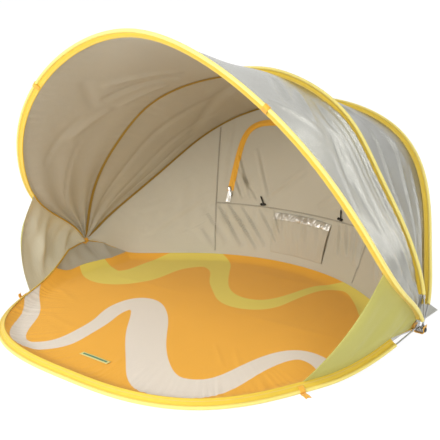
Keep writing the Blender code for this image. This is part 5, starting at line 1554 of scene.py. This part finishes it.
def rounded_plate(centre, axes, size, corner):
    """A flat plate with rounded corners and edges: squared circles stacked through its thickness.

    Each level is the outline shrunk by a quarter-round at the faces, and the faces close to the middle.
    """
    outline = squared_circle(np.linspace(0.0, math.tau, 57)[:-1], 5.0)
    half = np.asarray(size) / 2
    bend = np.radians([-90.0, -90.0, -60.0, -30.0, 0.0, 30.0, 60.0, 90.0, 90.0])
    shrink = corner * (1 - np.cos(bend))
    shrink[[0, -1]] = max(half[:2])
    flat = outline[None] * np.maximum(half[:2] - shrink[:, None], 0.0)[:, None]
    height = np.broadcast_to((np.sin(bend) * half[2])[:, None], flat.shape[:2])
    return {"points": centre + np.dstack([flat, height]) @ axes, "wrap": (False, True)}


def build_slider():
    """The zip's slider at its left foot with a silver stop below it, a bridge and a long pull.

    The slider and the pull are rounded plates, and the bridge is a bar along half a sine wave. Their places
    are millimetres right, up and inwards from the zip's foot.
    """
    foot = WINDOW_OFFSET - WINDOW_HALF_WIDTH
    line = np.stack([np.full(40, foot), np.linspace(ZIP_FOOT + 1.0 * MM, BELT_HEIGHT + 4.0 * MM, 40)], axis=1)
    stop = wall_strip("zip_foot_stop", line, STOP_WIDTH, 3.0 * MM, foot_relief, "crinkled silver film", 15)
    thicken(stop, FILM)
    turn_between(stop, "rear_hoop", "silver_film")
    seat, up, axes = wall_seat(foot, ZIP_FOOT, ZIP_LIFT + 1.2 * MM)
    body = rounded_plate(seat + np.array([0, 7.0, 1.4]) * MM @ axes, axes, SLIDER_SIZE, 1.0 * MM)
    swing = np.linspace(0.0, math.pi, 13)
    arc = np.stack([0 * swing, np.linspace(11.0, 3.0, 13), 2.6 + 1.9 * np.sin(swing)], axis=1) * MM
    bridge = tube_patches(seat + arc @ axes, 0.8 * MM, 10)
    pull = rounded_plate(seat + np.array([0, -8.0, 3.6]) * MM @ axes, axes, PULL_SIZE, 0.6 * MM)
    for name, patches, node in (("zip_slider_body", [body, *bridge], "zip_slider"),
                                ("zip_pull_tag", [pull], "zip_pull")):
        piece = show(name, patches, "nickel plated zinc", solid=True, smooth_angle=45)
        turn_between(piece, "rear_hoop", "bright_metal", node, share=up)


def build_toggles():
    """Two cord toggles: a waisted barrel with round ends, and a loop of elastic cord above it."""
    along = np.linspace(-1.0, 1.0, 61) * TOGGLE_HALF
    ball = np.sqrt(np.maximum(BEAD_RADIUS ** 2 - (np.abs(along) - TOGGLE_HALF + BEAD_RADIUS) ** 2, 0.0))
    waist = np.where(np.abs(along) < TOGGLE_HALF - BEAD_RADIUS, 0.4 * BEAD_RADIUS, 0.02 * MM)
    radius = np.maximum(ball, waist)
    line, length = smooth_line(np.array(TOGGLE_LOOP) * MM)
    cord = read_line((line, length), np.linspace(0, length[-1], 60))
    for side, sign in (("right", 1), ("left", -1)):
        seat, up, axes = wall_seat(WINDOW_OFFSET + sign * TOGGLE_SPACING / 2, BELT_HEIGHT + 4 * MM, 1.2 * MM)
        path = seat + np.array([0, 3.0 * MM, BEAD_RADIUS + 0.6 * MM]) @ axes + np.outer(along, axes[0])
        rings = ring_grid(path, np.tile(axes[1], (61, 1)), np.tile(axes[2], (61, 1)), radius, 20)
        caps = np.repeat(path[[0, -1]][:, None], 20, axis=1)
        barrel = {"points": np.vstack([caps[:1], rings, caps[1:]]), "wrap": (False, True)}
        for name, patches, material, node in (
            (f"toggle_barrel_{side}_bead", [barrel], "moulded black nylon", f"toggle_barrel_{side}"),
            (f"toggle_loop_{side}_cord", tube_patches(seat + cord @ axes, CORD_RADIUS, 10),
             "black elastic cord", f"toggle_loop_{side}"),
        ):
            piece = show(name, patches, material, solid=True)
            turn_between(piece, "rear_hoop", "black_plastic", node, share=up)


# Hubs, gussets, straps and flaps


def build_hubs(sizes):
    """The folded slings that carry the pins, the patches inside the corners, and the finish of the pins.

    A sling's path is a U with round corners, wider towards its top, and a patch is a disc dished by a
    parabola.
    """
    inner = EYE_RADIUS + WIRE_RADIUS + SLING_GAP
    half = 2 * EYE_PITCH + WIRE_RADIUS + SLING_GAP + 0.1 * MM
    turns = circle(np.linspace(0.0, math.pi / 2, 9)) * [1, -1]
    bend = [half - SLING_CORNER, -inner + SLING_CORNER] + SLING_CORNER * turns
    rise = np.stack([np.full(8, half), np.linspace(SLING_TOP, -inner + SLING_CORNER, 9)[:-1]], axis=1)
    path = np.vstack([rise, bend, (bend * [-1, 1])[::-1], (rise * [-1, 1])[::-1]])
    width = np.linspace(-1.0, 1.0, 19) * SLING_HALF_WIDTH
    waist = 0.70 + 0.42 * smooth((path[:, 1] + inner) / (inner + SLING_TOP))
    radius = np.linspace(0.0, PATCH_RADIUS, 12)[1:, None, None]
    disc = radius * (circle(np.arange(48) * math.tau / 48) @ [Y_AXIS, Z_AXIS])
    inward = CORNER_INSET + PATCH_GAP + PATCH_DISH * (radius / PATCH_RADIUS) ** 2
    for side, sign in (("right", 1), ("left", -1)):
        points = on_grid(
            (sign * (HUB_X + path[:, 0]))[:, None], width * waist[:, None], (HUB[2] + path[:, 1])[:, None])
        sling = show(f"hub_sling_{side}_webbing",
                     [{"points": points, "cloth": on_grid(running(path)[:, None], width[None, :])}],
                     "orange webbing", facing=(sign * HUB_X, 0.0, HUB[2]))
        thicken(sling, sizes.webbing)
        belong(sling, "rear_floor", "orange_webbing", f"hub_sling_{side}")
        points = HUB + disc + X_AXIS * (sign * (HUB_X - inward))
        cloth = plain_places(points[..., 1:], (False, True))
        patch = show(f"hub_patch_{side}_webbing", [{"points": points, "wrap": (False, True), "cloth": cloth}],
                     "orange webbing", facing=(sign, 0.0, HUB[2]))
        thicken(patch, sizes.webbing)
        belong(patch, "rear_floor", "orange_webbing")
        pin = frame["nodes"][f"hub_pin_{side}"].data.materials
        pin.clear()
        pin.append(bpy.data.materials["moulded black nylon"])


def build_gussets(sizes):
    """The low cloths between the mat's straight sides and the hubs, under the lifted ends of the ring.

    Each runs straight from the mat's side to the ring's hems and the hub, drawn by a parabola and waved
    along.
    """
    side = mat_side(mat_runs())
    share = np.linspace(0.0, 1.0, 41)
    y = np.r_[side[0, 1] * (1 - share), side[-1, 1] * share[1:]]
    x, z = (np.interp(y, side[:, 1], side[:, k]) for k in (0, 2))
    low = np.stack([x - GUSSET_INSET, y, z - GUSSET_TUCK], axis=1)
    highs = [np.array([[HUB_X - CORNER_INSET, 0.0, HUB[2] - GUSSET_DROP]])]
    for name, last_y in (("ring_front", side[0, 1]), ("ring_rear", side[-1, 1])):
        wire = WIRES[name]
        rail = wire.hem_line(np.linspace(CLOTH_TIP, wire.length / 2, 400), -1, -0.5 * MM)
        last = int(np.argmin(np.abs(rail[:, 1] - last_y)))
        highs.append(read_line((rail, np.arange(len(rail))), np.linspace(0.0, last, 40)))
    high = np.vstack([highs[1][::-1], highs[0], highs[2]])
    across = np.linspace(0.0, 1.0, 17)
    plain = between(low, high, across)
    wave = 1.6 * MM * np.sin(y * math.tau / 0.05)[:, None] * hump(across)
    points = plain + X_AXIS * (wave + 4 * MM * hump(across))[..., None]
    cut = flat_cut(plain)
    cut["area"] = max(cut["area"], LEAST_AREA * cut["flat"][0] * cut["flat"][1])
    for side_name, flip in (("right", 1.0), ("left", MIRROR_X)):
        piece = show(f"side_gusset_{side_name}_cloth", [{"points": points * flip}],
                     "silver coated canopy", "taupe canopy lining", facing=(0.0, 0.0, 0.1))
        thicken(piece, sizes.cloth, 1)
        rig.blend(piece, "rear_floor", "front_floor", start=(0, 0.02, 0), end=(0, -0.09, 0))
        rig.replaces(piece, f"side_gusset_{side_name}")
        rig.slot(piece, "taupe_wall")
        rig.sheet(piece, held="stretched", rests_on=["mat_cloth", "ring_rear_sleeve_cloth"], **cut)


def build_sand_flaps(sizes):
    """The grey flaps behind, each a flat triangle on the ground with a hem along its free edges.

    Straight lines run out from the ring to a slanted edge. Their height waves by a sine, and steps up at
    the hem.
    """
    wire = WIRES["ring_rear"]
    centre, _, _, tangent = wire.frame_at(np.linspace(*SAND_FLAP_SHARES, 60) * wire.length)
    outward = unit(np.cross(tangent, Z_AXIS))
    inner = centre * [1, 1, 0] + outward * (3.0 * MM)
    near, far = inner[[0, -1]] + unit(outward.mean(axis=0)) * SAND_FLAP_REACH
    near = near + (far - near) * SAND_FLAP_CUT
    steps, across = np.linspace(0.0, 1.0, 60), np.linspace(0.0, 1.0, 30)
    plain = between(inner, near * (1 - steps[:, None]) + far * steps[:, None], across)
    a, s = np.meshgrid(steps, across, indexing="ij")
    edge = np.minimum(np.minimum(a, 1 - a), (1 - s) * 0.6)
    points = plain.copy()
    points[..., 2] = 0.6 * MM + 1.1 * MM * (1 + np.sin(a * 13 + s * 5)) * s * smooth(edge * 8)
    points[..., 2] += 0.6 * MM * (1 - smooth((edge - 0.03) / 0.01)) * smooth(edge / 0.008)
    for side, flip in (("right", 1.0), ("left", MIRROR_X)):
        piece = show(f"sand_flap_{side}_cloth", [{"points": points * flip}], "grey sand flap cloth",
                     facing=(0.0, 0.2, -1.0))
        thicken(piece, sizes.mat)
        belong(piece, "rear_floor", "grey_flap", f"sand_flap_{side}")
        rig.sheet(piece, held="laid", rests_on=["ring_rear_sleeve_cloth"], **flat_cut(plain))


def wrap_line(width, cover, lift):
    """A line round the sleeve's edge and a share of the way down both flanks, lifted off it."""
    edge = (CHANNEL_RADIUS + lift) * circle(np.radians(np.linspace(-100.0, 100.0, 17)))
    hem = np.array([-(width - CHANNEL_RADIUS - HEM_RADIUS), HEM_RADIUS + lift])
    high = edge[-1] + (hem - edge[-1]) * np.linspace(cover, 0.0, 9)[:-1, None]
    return np.vstack([high * [1, -1], edge, high[::-1]])


def build_tabs(sizes):
    """The orange tabs sewn round the front hoop's sleeve: its wrapping line carried along the wire."""
    wire = WIRES["front_hoop"]
    line = wrap_line(wire.width, 0.9, 0.9 * MM)
    for side, share in (("right", TAB_SHARE), ("left", 1 - TAB_SHARE)):
        at = share * wire.length + np.linspace(-1.0, 1.0, 12) * STRAP_HALF_WIDTH
        centre, outer, square, _ = wire.frame_at(at)
        points = centre[:, None] + line[None, :, :1] * outer[:, None] + line[None, :, 1:] * square[:, None]
        cloth = on_grid(running(line)[None, :], (at - at[0])[:, None])
        piece = show(f"front_hoop_tab_{side}_webbing", [{"points": points, "cloth": cloth}], "orange webbing",
                     facing=centre[6])
        thicken(piece, sizes.webbing)
        belong(piece, "front_hoop", "orange_webbing", f"front_hoop_tab_{side}")


def build_peg_loops(sizes):
    """Orange tapes over the ring's outer flank, with a notched tail that lies on the ground or curls up.

    The tail is a straight line out, bent by a parabola where it curls, and its end is drawn in to a V.
    """
    wire = WIRES["ring_front"]
    for side, share, curl in (("right", PEG_SHARE, 0.0), ("left", 1 - PEG_SHARE, 1.0)):
        at = np.array([share * wire.length])
        centre, outer, square, tangent = (values[0] for values in wire.frame_at(at))
        level = unit(np.cross(tangent, Z_AXIS))
        level = level * np.sign(level @ outer)
        flank = wrap_line(wire.width, 0.55, 0.8 * MM)[::-1][:18]
        over = (flank[:, :1] * outer + flank[:, 1:] * square) @ np.stack([level, Z_AXIS], axis=1)
        ground = 0.9 * MM - centre[2]
        way = np.linspace(0.0, 1.0, 14)[1:]
        tail = np.stack([CHANNEL_RADIUS + 2.4 * MM + PEG_TAIL * way - 12 * MM * curl * way ** 2,
                         ground + 13 * MM * curl * way ** 2 + 1.2 * MM * np.sin(math.pi * way)], axis=1)
        path = np.vstack([over[over[:, 1] > ground + 1.0 * MM], tail])
        width = np.linspace(-1.0, 1.0, 13)
        depth = PEG_NOTCH * np.r_[np.zeros(len(path) - 4), [0.25, 0.5, 0.75, 1.0]][:, None]
        notch = depth * (1 - np.abs(width))
        points = centre + (path[:, :1] - notch)[..., None] * level + path[:, 1][:, None, None] * Z_AXIS
        points = points + (width * STRAP_HALF_WIDTH)[:, None] * tangent
        cloth = on_grid(running(path)[:, None], width[None, :] * STRAP_HALF_WIDTH)
        piece = show(f"peg_loop_{side}_webbing", [{"points": points, "cloth": cloth}], "orange webbing",
                     facing=centre - Z_AXIS * 0.02)
        thicken(piece, sizes.webbing)
        belong(piece, "front_floor", "orange_webbing", f"peg_loop_{side}")


def build_ferrules():
    """The crimped ferrules where the middle hoop's wire enters its sleeve.

    Each is turned about the wire: a tube with rounded ends and a bell-shaped groove at each of two crimps.
    """
    wire = WIRES["middle_hoop"]
    share = np.linspace(0.0, 1.0, 31)
    dent = 0.55 * MM * (np.exp(-((share - 0.3) / 0.07) ** 2) + np.exp(-((share - 0.7) / 0.07) ** 2))
    radius = FERRULE_RADIUS - dent - 1.3 * MM * (np.abs(share - 0.5) * 2) ** 14
    gap = 0.3 * MM
    for side, start in (("right", wire.bare - FERRULE_LENGTH - gap), ("left", wire.length - wire.bare + gap)):
        centre, outer, square, _ = wire.frame_at(start + FERRULE_LENGTH * share)
        skin = ring_grid(centre, outer, square, radius, 24)
        bore = ring_grid(centre[[-1, 0]], outer[[-1, 0]], square[[-1, 0]], 1.9 * MM, 24)
        skin = {"points": np.vstack([skin, bore]), "wrap": (True, True)}
        piece = show(f"hoop_ferrule_{side}_crimp", [skin], "nickel plated zinc", solid=True)
        belong(piece, "middle_hoop", "bright_metal", f"hoop_ferrule_{side}")


def build_label():
    """A blank woven label sewn on the mat near its front edge, and its stripe: plates waved by two sines."""
    along, across = np.meshgrid(np.linspace(-0.5, 0.5, 49), np.linspace(-0.5, 0.5, 13), indexing="ij")
    for name, size, lift, material in (
        ("mat_blank_label", (86 * MM, 14 * MM), 3.2 * MM, "blank woven label"),
        ("mat_label_stripe", (74 * MM, 5 * MM), 3.9 * MM, "green label stripe"),
    ):
        x, y = LABEL_PLACE[0] + along * size[0], LABEL_PLACE[1] + across * size[1]
        z = lift + 0.5 * MM * np.sin(x * 90) * np.sin(y * 60)
        piece = show(name, [{"points": on_grid(x, y, z), "cloth": on_grid(x, y - LABEL_PLACE[1])}], material,
                     facing=(0.0, -0.46, -1.0))
        thicken(piece, 0.5 * MM)
        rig.ride(piece, "front_floor")
        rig.slot(piece, "orange_webbing")


# Stage


def build_stage():
    """A pale floor that sweeps up behind the tent, soft light all round and a camera at the photo's angle.

    The sweep is flat, then a quarter circle, then upright.
    """
    scene = bpy.context.scene
    scene.view_settings.view_transform = "Standard"
    turns = np.linspace(0.05, math.pi / 2, 20)
    run = np.r_[np.linspace(-6.0, 3.0, 30), 3.0 + SWEEP_RADIUS * np.sin(turns), 5.0, 5.0]
    rise = np.r_[np.zeros(30), SWEEP_RADIUS * (1 - np.cos(turns)), 4.0, 8.0]
    points = on_grid(np.linspace(-9.0, 9.0, 24)[None, :], run[:, None], rise[:, None])
    stage_material()
    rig.stage(show("studio_sweep", [{"points": points}], "white paper sweep", facing=(0.0, 0.0, -4.0)))
    scene.world = bpy.data.worlds.new("soft daylight")
    scene.world.use_nodes = True
    fill(scene.world.node_tree.nodes["Background"], {"Color": (1.0, 0.99, 0.97, 1.0), "Strength": 0.48})
    for name, place, size, power, tint in SOFTBOXES:
        lamp = bpy.data.lights.new(name, "AREA")
        lamp.shape, lamp.size, lamp.energy, lamp.color = "DISK", size, power, tint
        holder = bpy.data.objects.new(name, lamp)
        holder.location = place
        holder.rotation_euler = (Vector(LIGHT_AIM) - Vector(place)).to_track_quat("-Z", "Y").to_euler()
        scene.collection.objects.link(holder)
    lens = bpy.data.cameras.new("photo camera")
    lens.lens, lens.sensor_width = CAMERA_LENS, 36.0
    camera = bpy.data.objects.new("photo camera", lens)
    look = (Vector(CAMERA_AIM) - Vector(CAMERA_PLACE)).to_track_quat("-Z", "Y")
    look.rotate(Quaternion(look @ Vector((0.0, 0.0, 1.0)), CAMERA_ROLL))
    camera.location = CAMERA_PLACE
    camera.rotation_mode = "QUATERNION"
    camera.rotation_quaternion = look
    scene.collection.objects.link(camera)
    scene.camera = camera


def stage_material():
    """Matt paper sweep: white to the camera, with the tent's shadow kept."""
    tree, surface = new_material("white paper sweep")
    spot = add_node(tree, "TexCoord").outputs["Object"]
    grain = add_node(tree, "TexNoise", {"Vector": spot, "Scale": 1 / PAPER_GRAIN, "Detail": 2.0})
    tone = add_node(tree, "Mix", {
        "Factor": grain, "A": (0.92, 0.92, 0.92, 1.0), "B": (0.90, 0.90, 0.90, 1.0)}, data_type="RGBA")
    fill(surface, {"Base Color": tone, "Roughness": 0.9, "Specular IOR Level": 0.1})
    glow = add_node(tree, "Emission", {"Color": (1, 1, 1, 1), "Strength": 1.10})
    rays = add_node(tree, "LightPath").outputs
    seen = add_node(tree, "Math", (rays["Is Camera Ray"], rays["Is Glossy Ray"]), operation="MAXIMUM")
    seen = add_node(tree, "Math", (seen, rays["Is Transmission Ray"]), operation="MAXIMUM")
    share = add_node(tree, "Math", (seen, PAPER_GLOW_SHARE), operation="MULTIPLY")
    mix = add_node(tree, "MixShader", (share, surface, glow))
    fill(tree.nodes["Material Output"], {"Surface": mix})


# Operators


class TENT_OT_stage(bpy.types.Operator):
    """Make the floor, the lights and the camera"""

    bl_idname = "tent.stage"
    bl_label = "Stage"

    def execute(self, context):
        build_stage()
        make_materials(context.scene.tent_colours, context.scene.tent_sizes)
        return {"FINISHED"}


class TENT_OT_wires(bpy.types.Operator):
    """Bend the five spring steel wires with their eyes, and crimp the ferrules"""

    bl_idname = "tent.wires"
    bl_label = "Wires and ferrules"

    def execute(self, context):
        for name, wire in WIRES.items():
            piece = show(f"{name}_spring_wire", tube_patches(wire_path(wire), WIRE_RADIUS),
                         "plated spring steel", solid=True)
            belong(piece, BODY[name], "grey_wire", f"{name}_wire")
        build_ferrules()
        return {"FINISHED"}


class TENT_OT_sleeves(bpy.types.Operator):
    """Sew the yellow sleeves over the hoops and the floor ring"""

    bl_idname = "tent.sleeves"
    bl_label = "Sleeves"

    def execute(self, context):
        for name, wire in WIRES.items():
            piece = show(f"{name}_sleeve_cloth", sleeve_patches(wire, context.scene.tent_sizes),
                         "yellow polyester sleeve", solid=True, smooth_angle=70)
            belong(piece, BODY[name], "yellow_sleeve", f"{name}_sleeve")
        return {"FINISHED"}


class TENT_OT_canopies(bpy.types.Operator):
    """Stretch the two roof cloths between the hoops, with the tapes over their seams"""

    bl_idname = "tent.canopies"
    bl_label = "Canopy"

    def execute(self, context):
        build_canopies(context.scene.tent_sizes)
        return {"FINISHED"}


class TENT_OT_panels(bpy.types.Operator):
    """Stretch the side panels and the low gussets at the hubs"""

    bl_idname = "tent.panels"
    bl_label = "Side panels and gussets"

    def execute(self, context):
        build_side_panels(context.scene.tent_sizes)
        build_gussets(context.scene.tent_sizes)
        build_corner_piping()
        return {"FINISHED"}


class TENT_OT_wall(bpy.types.Operator):
    """Stretch the back wall with its seams, window, net, flap and zip"""

    bl_idname = "tent.wall"
    bl_label = "Back wall and window"

    def execute(self, context):
        build_wall(context.scene.tent_sizes)
        build_seams()
        build_window(context.scene.tent_sizes)
        return {"FINISHED"}


class TENT_OT_wall_fittings(bpy.types.Operator):
    """Hang the pocket with its gathered band and the two cord toggles"""

    bl_idname = "tent.wall_fittings"
    bl_label = "Pocket and toggles"

    def execute(self, context):
        build_pocket(context.scene.tent_sizes)
        build_toggles()
        return {"FINISHED"}


class TENT_OT_mat(bpy.types.Operator):
    """Lay the mat with its two printed bands and its blank label"""

    bl_idname = "tent.mat"
    bl_label = "Mat"

    def execute(self, context):
        build_mat(context.scene.tent_sizes)
        build_label()
        return {"FINISHED"}


class TENT_OT_webbing(bpy.types.Operator):
    """Fold the hub slings, tabs and peg loops, and lay the sand flaps"""

    bl_idname = "tent.webbing"
    bl_label = "Webbing and sand flaps"

    def execute(self, context):
        build_hubs(context.scene.tent_sizes)
        build_tabs(context.scene.tent_sizes)
        build_peg_loops(context.scene.tent_sizes)
        build_sand_flaps(context.scene.tent_sizes)
        return {"FINISHED"}


OPERATORS = (
    TENT_OT_stage, TENT_OT_wires, TENT_OT_sleeves, TENT_OT_canopies, TENT_OT_panels,
    TENT_OT_wall, TENT_OT_wall_fittings, TENT_OT_mat, TENT_OT_webbing,
)


class TENT_PT_panel(bpy.types.Panel):
    """The tent's colours, sizes and building steps in the sidebar"""

    bl_idname = "TENT_PT_panel"
    bl_label = "Pop-up beach tent"
    bl_space_type = "VIEW_3D"
    bl_region_type = "UI"
    bl_category = "Tent"

    def draw(self, context):
        for group in (context.scene.tent_colours, context.scene.tent_sizes):
            box = self.layout.box()
            for name in group.bl_rna.properties.keys():
                if name not in ("rna_type", "name"):
                    box.prop(group, name)
        for operator in OPERATORS:
            self.layout.operator(operator.bl_idname)


CLASSES = (TentColours, TentSizes, *OPERATORS, TENT_PT_panel)


def register():
    """Registers the classes and hangs the settings on the scene."""
    for entry in CLASSES:
        bpy.utils.register_class(entry)
    bpy.types.Scene.tent_colours = bpy.props.PointerProperty(type=TentColours)
    bpy.types.Scene.tent_sizes = bpy.props.PointerProperty(type=TentSizes)


def unregister():
    """Takes the settings and the classes away again."""
    del bpy.types.Scene.tent_sizes
    del bpy.types.Scene.tent_colours
    for entry in reversed(CLASSES):
        bpy.utils.unregister_class(entry)


def main():
    """Builds the dressed tent step by step and writes its two boxes."""
    register()
    for operator in OPERATORS:
        group, step = operator.bl_idname.split(".")
        getattr(getattr(bpy.ops, group), step)()
    with open("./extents.json", "w") as out:
        json.dump({"cad": CAD_BOX, "visual": [list(corner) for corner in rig.bounds()]}, out)


if __name__ == "__main__":
    main()
